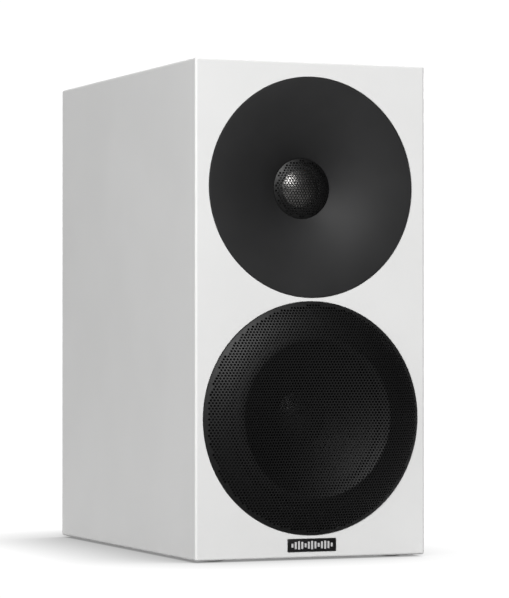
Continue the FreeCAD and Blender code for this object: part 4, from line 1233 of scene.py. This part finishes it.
class SPEAKER_OT_badge(SpeakerStep, bpy.types.Operator):
    """Make the small plate at the foot of the baffle, with plain bars on it"""

    bl_idname = "speaker.badge"
    bl_label = "Badge"

    CORNER = 0.9
    BEVEL = 0.25
    BAR_WIDTH = 1.35
    BAR_RISE = 0.06
    BAR_SPAN = 27.6
    BAR_HEIGHTS = (2.6, 5.4)
    BAR_SWELLS = 3

    def make(self):
        centre = centre_of("badge")
        low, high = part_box("badge")
        half_width, half_height = (high.x - low.x) / 2 / MM, (high.z - low.z) / 2 / MM
        front, back = (depth_of("badge", end) for end in (0, 1))
        face = front + self.BAR_RISE
        levels = [
            (0.0, back),
            (0.0, face + self.BEVEL),
            (self.BEVEL * 0.3, face + self.BEVEL * 0.3),
            (self.BEVEL, face),
        ]
        verts, faces = plate(centre, half_width, half_height, self.CORNER, levels)
        solid_piece("badge_plate", verts, faces, ["badge"])
        self.bars(centre, face)

    def bars(self, centre, face):
        """A row of plain bars, whose heights rise and fall three times."""
        total = detail().badge_bars
        parts = []
        for index in range(total):
            along = index / (total - 1)
            low, high = self.BAR_HEIGHTS
            half_height = (low + (high - low) * abs(math.sin(math.pi * self.BAR_SWELLS * along))) / 2
            spot = centre + Vector(((along - 0.5) * self.BAR_SPAN * MM, 0.0, 0.0))
            levels = [(0.0, face + 0.05), (0.0, face - self.BAR_RISE * 0.6), (0.12, face - self.BAR_RISE)]
            parts.append(plate(spot, self.BAR_WIDTH / 2, half_height, 0.3, levels))
        piece = solid_piece("badge_bars", *joined(*parts), ["badge"])
        piece.data.materials[0] = badge_mark(Recipe("speaker_badge_mark"))


class SPEAKER_OT_woofer(SpeakerStep, bpy.types.Operator):
    """Make the cone, dust cap, rubber surround, cloth spider, foam gasket, keepers and screws"""

    bl_idname = "speaker.woofer"
    bl_label = "Woofer"

    LIP = 0.8
    SHEET = 0.8
    CAP_RISE = 5.7
    ROLL_RISE = 4.6
    NECK = 13.4
    SPIDER_SHEET = 0.6
    SPIDER_WAVE = 1.0
    SPIDER_TURNS = 5
    SCREW_CIRCLE = 67.4

    def make(self):
        self.cone()
        self.cap()
        self.surround()
        self.spider()
        self.gasket()
        self.keepers()
        self.screws()
        self.tinsel()

    def cone(self):
        """A straight cone with shallow pressed ribs."""
        outer, inner = reach_of("woofer_cone"), self.NECK
        front, back = (depth_of("woofer_cone", end) for end in (0, 1))
        steps = 60
        face = []
        for step in range(steps + 1):
            along = step / steps
            rib = 0.10 * math.sin(FULL_TURN * 5 * along) * math.sin(math.pi * along)
            face.append((outer + (inner - outer) * along, front + (back - self.SHEET - front) * along + rib))
        behind = [(radius, depth + self.SHEET) for radius, depth in reversed(face)]
        verts, faces = spun(WOOFER, face + behind, 216)
        solid_piece("woofer_cone_shell", verts, faces, ["woofer_cone"])

    def cap(self):
        radius = reach_of("woofer_dust_cap")
        front = depth_of("woofer_dust_cap", 0)
        ball = (radius**2 + self.CAP_RISE**2) / (2 * self.CAP_RISE)
        steps = 30
        radii = [radius * step / steps for step in range(steps + 1)]
        face = [(r, front + ball - math.sqrt(ball * ball - r * r)) for r in radii]
        behind = [(r, depth + self.SHEET) for r, depth in reversed(face)]
        verts, faces = spun(WOOFER, face + behind, 144)
        solid_piece("woofer_cap_shell", verts, faces, ["woofer_dust_cap"])

    def surround(self):
        lip_outer = reach_of("woofer_surround")
        back = depth_of("woofer_surround", 1)
        front = back - self.LIP
        roll_outer = lip_outer - 3.5
        roll_inner = roll_outer - 2 * self.ROLL_RISE
        middle = (roll_outer + roll_inner) / 2
        profile = eased([(roll_inner - 1.4, front), (roll_inner, front)], 0.0)
        profile += arc((roll_inner, front), (middle, front - self.ROLL_RISE), (roll_outer, front), 36)[1:]
        profile += [(roll_outer, front), (lip_outer, front), (lip_outer, back), (roll_outer - self.LIP, back)]
        inner_arc = arc((roll_outer - self.LIP, back), (middle, back - self.ROLL_RISE + 0.1),
                        (roll_inner + self.LIP, back), 36)
        profile += inner_arc[1:] + [(roll_inner + self.LIP, back), (roll_inner - 1.4, back)]
        verts, faces = spun(WOOFER, profile, 216)
        piece = new_piece("woofer_edge_roll", verts, faces, ["woofer_surround"])
        set_radial_blend(piece, WOOFER, roll_outer, roll_inner)

    def spider(self):
        outer = reach_of("woofer_spider")
        front = depth_of("woofer_spider", 0)
        inner = reach_of("woofer_former") + 0.1
        middle = front + self.SPIDER_WAVE
        steps = 120
        face = []
        for step in range(steps + 1):
            along = step / steps
            radius = inner + (outer - inner) * along
            wave = math.cos(FULL_TURN * self.SPIDER_TURNS * (radius - inner - 2) / (outer - inner - 5))
            flat = inner + 2 < radius < outer - 3
            face.append((radius, middle + self.SPIDER_WAVE * (wave if flat else 1.0)))
        behind = [(radius, depth + self.SPIDER_SHEET) for radius, depth in reversed(face)]
        verts, faces = spun(WOOFER, face + behind, 180)
        piece = new_piece("woofer_spider_disc", verts, faces, ["woofer_spider"])
        set_radial_blend(piece, WOOFER, outer - 3, inner + 1)

    def gasket(self):
        """A foam ring, squeezed between the frame and the baffle, so that its edges bulge."""
        outer = reach_of("woofer_gasket")
        inner = outer - 1.9
        front, back = (depth_of("woofer_gasket", end) for end in (0, 1))
        middle = (front + back) / 2
        bulge = 0.12
        profile = arc((outer - bulge, front), (outer, middle), (outer - bulge, back), 6)
        profile += [(outer - bulge, back)]
        profile += arc((inner + bulge, back), (inner, middle), (inner + bulge, front), 6)
        profile += [(inner + bulge, front)]
        verts, faces = spun(WOOFER, profile, 216)
        solid_piece("woofer_foam_ring", verts, faces, ["woofer_gasket"])

    def keepers(self):
        """Four nickelled magnets in the frame, which hold the grille."""
        front, back = (depth_of("grille_magnets", end) for end in (0, 1))
        radius = 3.0
        disc = eased([(0.0, front, 0.0), (radius, front), (radius, back), (0.0, back, 0.0)], 0.35)
        spots = round_spots(WOOFER, self.SCREW_CIRCLE, 4, 0.0)
        parts = [spun(spot, disc, detail().small_segments) for spot in spots]
        solid_piece("grille_keepers", *joined(*parts), ["grille_magnets"])

    def screws(self):
        front = depth_of("woofer_screws", 0)
        spots = round_spots(WOOFER, self.SCREW_CIRCLE, 4, math.pi / 4)
        parts = [hex_screw(spot, front, 3.2, 2.2, 1.9, 15.0) for spot in spots]
        solid_piece("woofer_frame_screws", *joined(*parts), ["woofer_screws"])

    def tinsel(self):
        """Two braided leads."""
        low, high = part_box("woofer_tinsel_leads")
        radius = 0.5
        meet, strip = low.x / MM + radius, high.x / MM - radius
        start_depth = (low.y - FRONT) / MM + radius
        depth = 19.5
        parts = []
        for sign in (-1, 1):
            z = 8.0 * sign
            route = [
                (meet, start_depth), (meet, depth), (meet + 8, depth), (meet + 21, depth + 1),
                (strip - 2.5, depth + 8.5), (strip, 37.0),
            ]
            line = smooth_line([to_depth(WOOFER, x, z, y) for x, y in route])
            parts += [rope_strand(line, radius * 0.5 * MM, radius * 0.45 * MM, turn, 26) for turn in range(3)]
        piece = new_piece("woofer_tinsel_braids", *joined(*parts), ["woofer_tinsel_leads"])
        start, end = (to_depth(WOOFER, x, 0.0, 0.0) for x in (strip - 2, meet))
        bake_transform(piece)


def round_spots(centre, radius, total, turn):
    """Points spaced evenly round a front-to-back axis."""
    angles = [turn + FULL_TURN * index / total for index in range(total)]
    return [centre + Vector((radius * MM * math.cos(a), 0.0, radius * MM * math.sin(a))) for a in angles]


def hexagon(radius, segments):
    """Radii of a hexagon, with this radius to its corners, at each step round."""
    turn = np.linspace(0, FULL_TURN, segments, endpoint=False)
    return radius * math.cos(math.pi / 6) / np.cos((turn + math.pi / 6) % (math.pi / 3) - math.pi / 6)


def hex_screw(centre, front, head, head_depth, shank, reach, backwards=False, segments=48):
    """A button-head screw with a hexagon socket. Backwards has its head at the back of the cabinet."""
    socket = hexagon(head * 0.52, segments)
    sign = -1 if backwards else 1
    profile = [
        (0.0, head_depth * 0.75),
        (socket * 0.92, head_depth * 0.70),
        (socket, 0.12),
        (socket + head * 0.06, 0.0),
        (np.full(segments, head * 0.74), 0.0),
        (head * 0.90, head_depth * 0.16),
        (head * 0.985, head_depth * 0.42),
        (head, head_depth * 0.72),
        (head, head_depth - 0.15),
        (head - 0.15, head_depth),
        (shank, head_depth),
        (shank, reach - 1.2),
        (shank * 0.35, reach),
        (0.0, reach),
    ]
    profile = [(radius, front + sign * depth) for radius, depth in profile]
    return spun(centre, profile, segments)


def smooth_line(points):
    """The smooth curve that a few points control, as closely spaced points."""
    data = bpy.data.curves.new("line", "CURVE")
    data.dimensions = "3D"
    data.resolution_u = 10
    spline = data.splines.new("NURBS")
    spline.points.add(len(points) - 1)
    for point, place in zip(spline.points, points):
        point.co = (*place, 1.0)
    spline.order_u = 3
    spline.use_endpoint_u = True
    item = bpy.data.objects.new("line", data)
    mesh = bpy.data.meshes.new_from_object(item)
    line = np.array([vertex.co for vertex in mesh.vertices])
    bpy.data.objects.remove(item)
    bpy.data.curves.remove(data)
    bpy.data.meshes.remove(mesh)
    return line


def rope_strand(line, lay_radius, radius, turn, twists, sides=8):
    """One of three strands that wind round a line."""
    gaps = np.linalg.norm(np.diff(line, axis=0), axis=1)
    along = np.concatenate([[0], np.cumsum(gaps)])
    fine = np.linspace(0, along[-1], twists * 8)
    spots = np.stack([np.interp(fine, along, line[:, axis]) for axis in range(3)], axis=-1)
    ahead = np.gradient(spots, axis=0)
    ahead /= np.linalg.norm(ahead, axis=1)[:, None]
    side = np.cross(ahead, (0.0, 0.0, 1.0))
    side /= np.linalg.norm(side, axis=1)[:, None]
    up = np.cross(side, ahead)
    angle = FULL_TURN * (twists * fine / fine[-1] + turn / 3)
    heart = spots + lay_radius * (side * np.cos(angle)[:, None] + up * np.sin(angle)[:, None])
    rounds = np.linspace(0, FULL_TURN, sides, endpoint=False)
    rings = []
    for index in range(len(heart)):
        circle = side[index] * np.cos(rounds)[:, None] + up[index] * np.sin(rounds)[:, None]
        rings.append(heart[index] + radius * circle)
    return skin([heart[:1], *rings, heart[-1:]], closed=False)


class SPEAKER_OT_port(SpeakerStep, bpy.types.Operator):
    """Turn the flared reflex port"""

    bl_idname = "speaker.port"
    bl_label = "Port"

    BORE = 20.5
    WALL = 2.5
    FLARE = 11.0
    LIP = 1.0

    def make(self):
        radius = reach_of("port_tube")
        front = depth_of("port_tube", 0)
        shoulder = BACK - self.FLARE + 0.3
        via = (self.BORE + self.FLARE * 0.2929, BACK - self.FLARE * 0.2929)
        flare = arc((self.BORE, BACK - self.FLARE), via, (self.BORE + self.FLARE, BACK), 28)
        profile = [(self.BORE, front, 0.6)]
        profile += [(r, d, 0.0) for r, d in flare]
        profile += [
            (self.BORE + self.FLARE, BACK + 0.02, 0.5),
            (radius, BACK + self.LIP, 0.7),
            (radius, shoulder),
            (self.BORE + self.WALL, shoulder),
            (self.BORE + self.WALL, front, 0.6),
        ]
        verts, faces = spun(PORT, eased(profile, 0.3), detail().segments // 2)
        solid_piece("port_flare_tube", verts, faces, ["port_tube"])


class SPEAKER_OT_terminals(SpeakerStep, bpy.types.Operator):
    """Make the terminal plate, its screws, and the two binding posts"""

    bl_idname = "speaker.terminals"
    bl_label = "Terminals"

    CORNER = 3.5
    BORDER = 3.2
    RECESS = 0.7
    STUD = 3.0
    SOCKET = 2.0
    SOCKET_DEPTH = 19.0
    THREAD = 0.28
    MARK_SPOT = 16.0

    def make(self):
        self.terminal_plate()
        self.screws()
        for colour_name in ("red", "black"):
            self.post(colour_name)

    def terminal_plate(self):
        """A moulded plate with a raised border, a sunk field and the signs of the two poles."""
        low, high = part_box("terminal_plate")
        half_width, half_height = (high.x - low.x) / 2 / MM, (high.z - low.z) / 2 / MM
        inside, face = depth_of("terminal_plate", 0), depth_of("terminal_plate", 1)
        field = face - self.RECESS
        border = self.BORDER
        levels = [
            (0.3, BACK),
            (0.0, BACK + 0.3),
            (0.0, face - 0.8),
            (0.25, face - 0.25),
            (0.8, face),
            (border, face),
            (border + 0.35, face - 0.15),
            (border + 0.7, field),
        ]
        parts = [plate(TERMINALS, half_width, half_height, self.CORNER, levels)]
        boss = eased([(0.0, inside, 0.0), (26.0, inside), (26.0, BACK), (0.0, BACK, 0.0)], 0.5)
        parts.append(spun(TERMINALS, boss, 96))
        parts += self.signs(field)
        for node in ("post_stud_red", "post_stud_black"):
            seat = eased([(0.0, field - 0.1, 0.0), (8.4, field - 0.1), (8.4, face), (0.0, face, 0.0)], 0.3)
            parts.append(spun(centre_of(node), seat, detail().small_segments))
        solid_piece("terminal_cup_plate", *joined(*parts), ["terminal_plate"])

    def signs(self, field):
        """A raised plus above the red post and a minus above the black one."""
        parts = []
        for node, bars in (("post_stud_red", ((2.6, 0.5), (0.5, 2.6))), ("post_stud_black", ((2.6, 0.5),))):
            spot = centre_of(node) + Vector((0.0, 0.0, self.MARK_SPOT * MM))
            for half_width, half_height in bars:
                levels = [(0.0, field - 0.05), (0.0, field + 0.3), (0.15, field + 0.45)]
                parts.append(plate(spot, half_width, half_height, 0.2, levels))
        return parts

    def screws(self):
        low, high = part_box("terminal_screws")
        head = 2.5
        parts = []
        for x in (low.x + head * MM, high.x - head * MM):
            for z in (low.z + head * MM, high.z - head * MM):
                spot = Vector((x, 0.0, z))
                back = depth_of("terminal_screws", 1)
                parts.append(hex_screw(spot, back, head, 1.4, 1.4, 9.9, backwards=True))
        solid_piece("terminal_plate_screws", *joined(*parts), ["terminal_screws"])

    def post(self, colour_name):
        centre = centre_of("post_stud_" + colour_name)
        self.stud(centre, colour_name)
        self.collar(centre, colour_name)
        self.washer(centre, colour_name)
        self.nut(centre, colour_name)

    def stud(self, centre, colour_name):
        """A threaded gold-plated stud with a socket for a plug in its end."""
        node = "post_stud_" + colour_name
        start, end = (depth_of(node, index) for index in (0, 1))
        pitch = detail().thread_pitch / MM
        segments = detail().small_segments
        turn = np.linspace(0, 1, segments, endpoint=False)
        plain = BACK + 7.0
        rings = [(0.0, start), (self.STUD * 0.8, start), (self.STUD, start + 0.6), (self.STUD, plain)]
        steps = int((end - 0.8 - plain) / pitch * 8)
        for step in range(1, steps):
            depth = plain + (end - 0.8 - plain) * step / steps
            ridge = np.abs(((depth / pitch - turn) % 1.0) * 2 - 1)
            rings.append((self.STUD - self.THREAD * ridge, depth))
        socket_end = end - self.SOCKET_DEPTH
        rings += [
            (self.STUD - 0.25, end - 0.75),
            (self.STUD - 0.6, end - 0.08),
            (self.STUD - 0.7, end),
            (self.SOCKET + 0.2, end),
            (self.SOCKET, end - 0.3),
            (self.SOCKET, socket_end + 0.8),
            (0.0, socket_end),
        ]
        verts, faces = spun(centre, rings, segments)
        solid_piece("post_thread_" + colour_name, verts, faces, [node])

    def collar(self, centre, colour_name):
        node = "post_collar_" + colour_name
        front, back = (depth_of(node, end) for end in (0, 1))
        profile = ring_profile(self.STUD + 0.05, reach_of(node), front, back, 0.5)
        verts, faces = spun(centre, profile, 96)
        solid_piece("post_base_" + colour_name, verts, faces, [node])

    def washer(self, centre, colour_name):
        node = "post_washer_" + colour_name
        front, back = (depth_of(node, end) for end in (0, 1))
        profile = ring_profile(self.STUD + 0.06, reach_of(node), front, back, 0.25)
        verts, faces = spun(centre, profile, 96)
        solid_piece("post_clamp_" + colour_name, verts, faces, [node])

    def nut(self, centre, colour_name):
        """A ridged grip with plain ends and a plated insert round the stud."""
        node = "post_nut_" + colour_name
        front, back = (depth_of(node, end) for end in (0, 1))
        radius = reach_of(node)
        ridges = detail().grip_ridges
        segments = ridges * 8
        turn = np.linspace(0, FULL_TURN, segments, endpoint=False)
        groove = 0.42 * (0.5 - 0.5 * np.cos(turn * ridges)) ** 2
        bore = self.STUD + 0.06
        insert = bore + 1.0
        rows = [
            (insert, front, 0.0), (radius - 1.6, front, 0.0), (radius - 0.7, front + 0.3, 0.0),
            (radius - 0.35, front + 1.0, 0.0), (radius, front + 1.6, 1.0), (radius, back - 2.6, 1.0),
            (radius - 0.1, back - 2.2, 0.0), (radius - 0.1, back - 1.2, 0.0),
            (radius - 0.5, back - 0.45, 0.0),
            (radius - 1.3, back, 0.0), (insert + 0.6, back, 0.0), (insert, back - 0.5, 0.0),
        ]
        profile = [(r - groove * deep, depth) for r, depth, deep in rows]
        verts, faces = spun(centre, profile, segments)
        solid_piece("post_grip_" + colour_name, verts, faces, [node])
        sleeve = ring_profile(bore, insert + 0.02, front + 0.05, back - 0.3, 0.15)
        piece = solid_piece("post_insert_" + colour_name, *spun(centre, sleeve, 72), [node])
        piece.data.materials[0] = finish_for("gold_plate")


class SPEAKER_OT_feet(SpeakerStep, bpy.types.Operator):
    """Press the four thin rubber feet"""

    bl_idname = "speaker.feet"
    bl_label = "Feet"

    RADIUS = 8.0
    DIMPLE = 5.0
    DIMPLE_DEPTH = 0.35

    def make(self):
        low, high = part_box("feet")
        inset = self.RADIUS * MM
        height = (high.z - low.z) / MM
        corners = [
            (0.0, height, 0.0), (self.RADIUS, height, 0.1), (self.RADIUS, 0.0, 0.5),
            (self.DIMPLE, 0.0, 0.2), (self.DIMPLE - 0.4, self.DIMPLE_DEPTH, 0.2),
            (0.0, self.DIMPLE_DEPTH, 0.0),
        ]
        profile = eased(corners, 0.0)
        parts = []
        for x in (low.x + inset, high.x - inset):
            for y in (low.y + inset, high.y - inset):
                spot = Vector((x, y, low.z))
                parts.append(spun(spot, profile, detail().small_segments, to_frame=to_height))
        solid_piece("feet_pads", *joined(*parts), ["feet"])


class SPEAKER_OT_wadding(SpeakerStep, bpy.types.Operator):
    """Lay a crowned pad of wool on each side wall inside"""

    bl_idname = "speaker.wadding"
    bl_label = "Wadding"

    GRID = 40
    EDGE = 0.35
    LUMP = 0.09

    def make(self):
        for side, sign in (("left", 1), ("right", -1)):
            self.pad("damping_" + side, sign)

    def pad(self, node, sign):
        """The flat face lies on the wall. The other one crowns and thins out towards its edges."""
        low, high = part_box(node)
        wall = low.x if sign > 0 else high.x
        thickness = high.x - low.x
        rows = []
        for i in range(self.GRID + 1):
            for j in range(self.GRID + 1):
                u, v = i / self.GRID, j / self.GRID
                y, z = low.y + (high.y - low.y) * u, low.z + (high.z - low.z) * v
                near = min(u, 1 - u, v, 1 - v) * 2
                crown = self.EDGE + (0.9 - self.EDGE) * (1 - (1 - min(1.0, near * 3)) ** 2)
                lump = self.LUMP * noise.noise(Vector((wall, y, z)) * 60.0) * min(1.0, near * 5)
                rows.append((wall + sign * thickness * (crown + lump), y, z))
        flat = [(wall, y, z) for _, y, z in rows]
        side = self.GRID + 1
        cells = [(i * side + j, (i + 1) * side + j, (i + 1) * side + j + 1, i * side + j + 1)
                 for i in range(self.GRID) for j in range(self.GRID)]
        under = [tuple(index + len(rows) for index in reversed(cell)) for cell in cells]
        rim = [i * side for i in range(side)] + [self.GRID * side + j for j in range(1, side)]
        rim += [i * side + self.GRID for i in range(self.GRID - 1, -1, -1)]
        rim += list(range(self.GRID - 1, 0, -1))
        after = rim[1:] + rim[:1]
        edge = [(a, b, b + len(rows), a + len(rows)) for a, b in zip(rim, after)]
        piece = solid_piece("wool_" + node.split("_")[1], rows + flat, cells + under + edge, [node])


class SPEAKER_OT_crossover(SpeakerStep, bpy.types.Operator):
    """Wind the coils and make the capacitors, resistors, board and standoffs"""

    bl_idname = "speaker.crossover"
    bl_label = "Crossover"

    WIRE = 0.6

    def make(self):
        self.air_coil()
        self.iron_coil()
        self.capacitors()
        self.resistors()
        self.board()

    def windings(self, radius, start, end):
        """The outline of close turns of wire along a coil's outside."""
        turns = int((end - start) / (2 * self.WIRE))
        pitch = (end - start) / turns
        rows = []
        for turn in range(turns):
            middle = start + pitch * (turn + 0.5)
            for step in range(7):
                angle = math.pi * step / 6
                out = radius - pitch / 2 + pitch / 2 * math.sin(angle)
                rows.append((out, middle - pitch / 2 * math.cos(angle)))
        return rows

    def air_coil(self):
        low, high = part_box("air_core_inductor")
        height = (high.z - low.z) / MM
        centre = Vector(((low.x + high.x) / 2, (low.y + high.y) / 2, low.z))
        radius = (high.x - low.x) / 2 / MM
        bore = 9.0
        profile = self.windings(radius, 0.4, height - 0.4)
        ends = [(bore, height), (radius - 1.2, height)], [(radius - 1.2, 0.0), (bore, 0.0)]
        profile = ends[1] + profile + list(reversed(ends[0]))
        verts, faces = spun(centre, profile, 96, to_frame=to_height)
        solid_piece("air_coil", verts, faces, ["air_core_inductor"])

    def iron_coil(self):
        """Turns round a laminated bar, with a flat plate of laminations on each side."""
        low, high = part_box("iron_core_inductor")
        centre = (low + high) / 2
        start, end = (depth_of("iron_core_inductor", index) for index in (0, 1))
        radius = 14.0
        profile = [(0.0, start)] + self.windings(radius, start, end) + [(0.0, end)]
        half_width, half_height = (high.x - low.x) / 2 / MM, (high.z - low.z) / 2 / MM
        middle = (start + end) / 2
        sheets = 12
        levels = []
        for sheet in range(sheets + 1):
            depth = middle - 7.0 + 14.0 * sheet / sheets
            levels += [(0.0, depth - 0.3), (0.2, depth), (0.0, depth + 0.3)]
        levels = [(inset, depth) for inset, depth in levels if middle - 7.0 <= depth <= middle + 7.0]
        core = plate(centre, half_width, half_height, 0.8, levels)
        solid_piece("iron_coil", *joined(spun(centre, profile, 72), core), ["iron_core_inductor"])

    def capacitors(self):
        """Wound film cans that lie along the board, with soft shoulders and tinned leads."""
        low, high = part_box("capacitors")
        radius = (high.z - low.z) / 2 / MM
        span = 34.0
        centre_y, centre_z = (low.y + high.y) / 2, (low.z + high.z) / 2
        parts = []
        for start in (low.x / MM, high.x / MM - span):
            corners = [
                (0.0, 0.0, 0.0), (radius - 0.4, 0.0, 1.2), (radius, 1.6, 0.6),
                (radius, span - 1.6, 0.6), (radius - 0.4, span, 1.2), (0.0, span, 0.0),
            ]
            can = eased(corners, 0.0)
            spot = Vector((start * MM, centre_y, centre_z))
            parts.append(spun(spot, can, 72, to_frame=to_side))
        solid_piece("film_cans", *joined(*parts), ["capacitors"])

    def resistors(self):
        """Upright cement blocks with soft moulded edges."""
        low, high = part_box("resistors")
        side = (high.x - low.x) / 2
        height = (high.z - low.z) / MM
        parts = []
        for y in (low.y + side, high.y - side):
            spot = Vector(((low.x + high.x) / 2, y, low.z))
            levels = [(0.5, 0.0), (0.0, 0.5), (0.0, height - 0.5), (0.5, height)]
            half = side / MM
            parts.append(plate(spot, half, half, 0.9, levels, to_height))
        solid_piece("cement_blocks", *joined(*parts), ["resistors"])

    def board(self):
        low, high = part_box("crossover_board")
        spot = Vector(((low.x + high.x) / 2, (low.y + high.y) / 2, low.z))
        half_width, half_depth = (high.x - low.x) / 2 / MM, (high.y - low.y) / 2 / MM
        height = (high.z - low.z) / MM
        levels = [(0.15, 0.0), (0.0, 0.15), (0.0, height - 0.15), (0.15, height)]
        verts, faces = plate(spot, half_width, half_depth, 2.0, levels, to_height)
        solid_piece("crossover_panel", verts, faces, ["crossover_board"])
        self.standoffs()

    def standoffs(self):
        """Hexagonal nylon pillars."""
        low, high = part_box("crossover_standoffs")
        inset = 3.5 * MM
        height = (high.z - low.z) / MM
        segments = 48
        body = hexagon(3.5, segments)
        rows = [
            (0.0, 0.0), (body * 0.9, 0.0), (body, 0.4),
            (body, height - 0.4), (body * 0.9, height), (0.0, height),
        ]
        parts = []
        for x in (low.x + inset, high.x - inset):
            for y in (low.y + inset, high.y - inset):
                parts.append(spun(Vector((x, y, low.z)), rows, segments, to_frame=to_height))
        solid_piece("nylon_pillars", *joined(*parts), ["crossover_standoffs"])


class SPEAKER_OT_stage(SpeakerStep, bpy.types.Operator):
    """Set up the floor, the lamps and the camera"""

    bl_idname = "speaker.stage"
    bl_label = "Stage"

    FLOOR_SIZE = 14.0
    FLOOR_BOUNCE = 0.36
    # Darkest tone, reach and tilt of the shadow painted on the floor
    SHADE = 0.18
    SHADE_REACH = 0.085
    SHADE_FROM = (0.38, -0.30, 0.85)
    TARGET = Vector((0.0, 0.0, 0.16))
    CAMERA_PLACE = (-0.7375, -1.8272, 0.1422)
    CAMERA_YAW = math.radians(22.38)
    CAMERA_PITCH = math.radians(0.44)
    SHIFT = (0.0063, 0.0304)

    def make(self):
        self.floor()
        self.world()
        self.lamps()
        self.camera()

    def floor(self):
        """A sheet that glows white for the camera, with a soft shadow painted into its glow round the speaker
        by ambient occlusion. Other rays see a dim grey floor.
        """
        size = self.FLOOR_SIZE / 2
        mesh = bpy.data.meshes.new("stage_floor")
        corners = [(-size, -size, 0), (size, -size, 0), (size, size, 0), (-size, size, 0)]
        mesh.from_pydata(corners, [], [(0, 1, 2, 3)])
        floor = bpy.data.objects.new("stage_floor", mesh)
        bpy.context.scene.collection.objects.link(floor)
        recipe = Recipe("stage_paper")
        cloud = recipe.speckle(400.0)
        inputs = {"Distance": self.SHADE_REACH, "Normal": recipe.vector("NORMALIZE", self.SHADE_FROM)}
        settings = {"samples": 32, "only_local": False}
        # Painted shadow: ambient occlusion round the speaker darkens the glowing paper, where no lamp casts
        # it
        occlusion_for_painted_shadow = recipe.node("ShaderNodeAmbientOcclusion", settings, inputs, "AO")
        painted_shadow_tone = recipe.tint(occlusion_for_painted_shadow, grey(self.SHADE), stage().floor)
        light = {"Color": painted_shadow_tone, "Strength": stage().background}
        paper = recipe.node("ShaderNodeEmission", inputs=light)
        tone = recipe.tint(cloud, grey(self.FLOOR_BOUNCE * 0.98), grey(self.FLOOR_BOUNCE))
        recipe.done(Base_Color=tone, Roughness=0.9, Specular_IOR_Level=0.1)
        seen = recipe.node("ShaderNodeLightPath", output="Is Camera Ray")
        dim = Term(recipe, recipe.shader.outputs[0])
        mixed = recipe.node("ShaderNodeMixShader", inputs={0: seen, 1: dim, 2: paper})
        recipe.tree.links.new(mixed.socket, recipe.output.inputs[0])
        mesh.materials.append(recipe.material)

    def world(self):
        """A white background, and a dimmer light from all round."""
        world = bpy.data.worlds.new("studio")
        bpy.context.scene.world = world
        world.use_nodes = True
        tree = world.node_tree
        shader = tree.nodes["Background"]
        shader.inputs["Color"].default_value = (1.0, 1.0, 1.0, 1.0)
        rays = tree.nodes.new("ShaderNodeLightPath")
        strength = tree.nodes.new("ShaderNodeMapRange")
        strength.inputs["To Min"].default_value = stage().surround
        strength.inputs["To Max"].default_value = stage().background
        tree.links.new(rays.outputs["Is Camera Ray"], strength.inputs["Value"])
        tree.links.new(strength.outputs[0], shader.inputs["Strength"])

    def lamps(self):
        self.lamp("key_lamp", (-1.30, -2.90, 2.45), (1.9, 1.9), stage().key)
        self.lamp("side_lamp", (-3.00, -0.60, 1.00), (1.9, 1.9), stage().side)
        self.lamp("back_lamp", (1.90, 2.80, 1.50), (1.9, 1.9), stage().back)
        self.lamp("top_lamp", (0.45, 0.65, 1.95), (1.4, 1.4), stage().top)

    def lamp(self, name, place, size, power):
        data = bpy.data.lights.new(name, "AREA")
        data.shape = "RECTANGLE"
        data.size, data.size_y = size
        data.energy = power
        item = bpy.data.objects.new(name, data)
        item.location = place
        aim = self.TARGET - Vector(place)
        item.rotation_euler = aim.to_track_quat("-Z", "Y").to_euler()
        bpy.context.scene.collection.objects.link(item)

    def camera(self):
        data = bpy.data.cameras.new("camera")
        data.lens = stage().lens
        data.sensor_width = 36.0
        data.shift_x, data.shift_y = self.SHIFT
        data.clip_start, data.clip_end = 0.05, 60.0
        item = bpy.data.objects.new("camera", data)
        item.location = self.CAMERA_PLACE
        item.rotation_euler = (math.pi / 2 + self.CAMERA_PITCH, 0.0, -self.CAMERA_YAW)
        bpy.context.scene.collection.objects.link(item)
        bpy.context.scene.camera = item
        bpy.context.scene.view_settings.view_transform = "Standard"


STEPS = (
    SPEAKER_OT_carcass,
    SPEAKER_OT_waveguide,
    SPEAKER_OT_tweeter,
    SPEAKER_OT_woofer_grille,
    SPEAKER_OT_woofer,
    SPEAKER_OT_badge,
    SPEAKER_OT_port,
    SPEAKER_OT_terminals,
    SPEAKER_OT_feet,
    SPEAKER_OT_wadding,
    SPEAKER_OT_crossover,
    SPEAKER_OT_stage,
)
GROUPS = {
    "speaker_grilles": SpeakerGrilles,
    "speaker_finish": SpeakerFinish,
    "speaker_detail": SpeakerDetail,
    "speaker_stage": SpeakerStage,
}


class SPEAKER_PT_build(bpy.types.Panel):
    """The steps of the speaker and the sizes and colours that they use"""

    bl_idname = "SPEAKER_PT_build"
    bl_label = "Bookshelf speaker"
    bl_space_type = "VIEW_3D"
    bl_region_type = "UI"
    bl_category = "Speaker"

    def draw(self, context):
        for name, group in GROUPS.items():
            box = self.layout.box()
            for prop in group.__annotations__:
                box.prop(getattr(context.scene, name), prop)
        for step in STEPS:
            self.layout.operator(step.bl_idname)


def register():
    for group in GROUPS.values():
        bpy.utils.register_class(group)
    for name, group in GROUPS.items():
        setattr(bpy.types.Scene, name, bpy.props.PointerProperty(type=group))
    for step in STEPS:
        bpy.utils.register_class(step)
    bpy.utils.register_class(SPEAKER_PT_build)


def unregister():
    bpy.utils.unregister_class(SPEAKER_PT_build)
    for step in reversed(STEPS):
        bpy.utils.unregister_class(step)
    for name, group in GROUPS.items():
        delattr(bpy.types.Scene, name)
        bpy.utils.unregister_class(group)


def run_step(step):
    group, name = step.bl_idname.split(".")
    getattr(getattr(bpy.ops, group), name)()


def main():
    register()
    for step in STEPS:
        run_step(step)


if __name__ == "__main__":
    main()
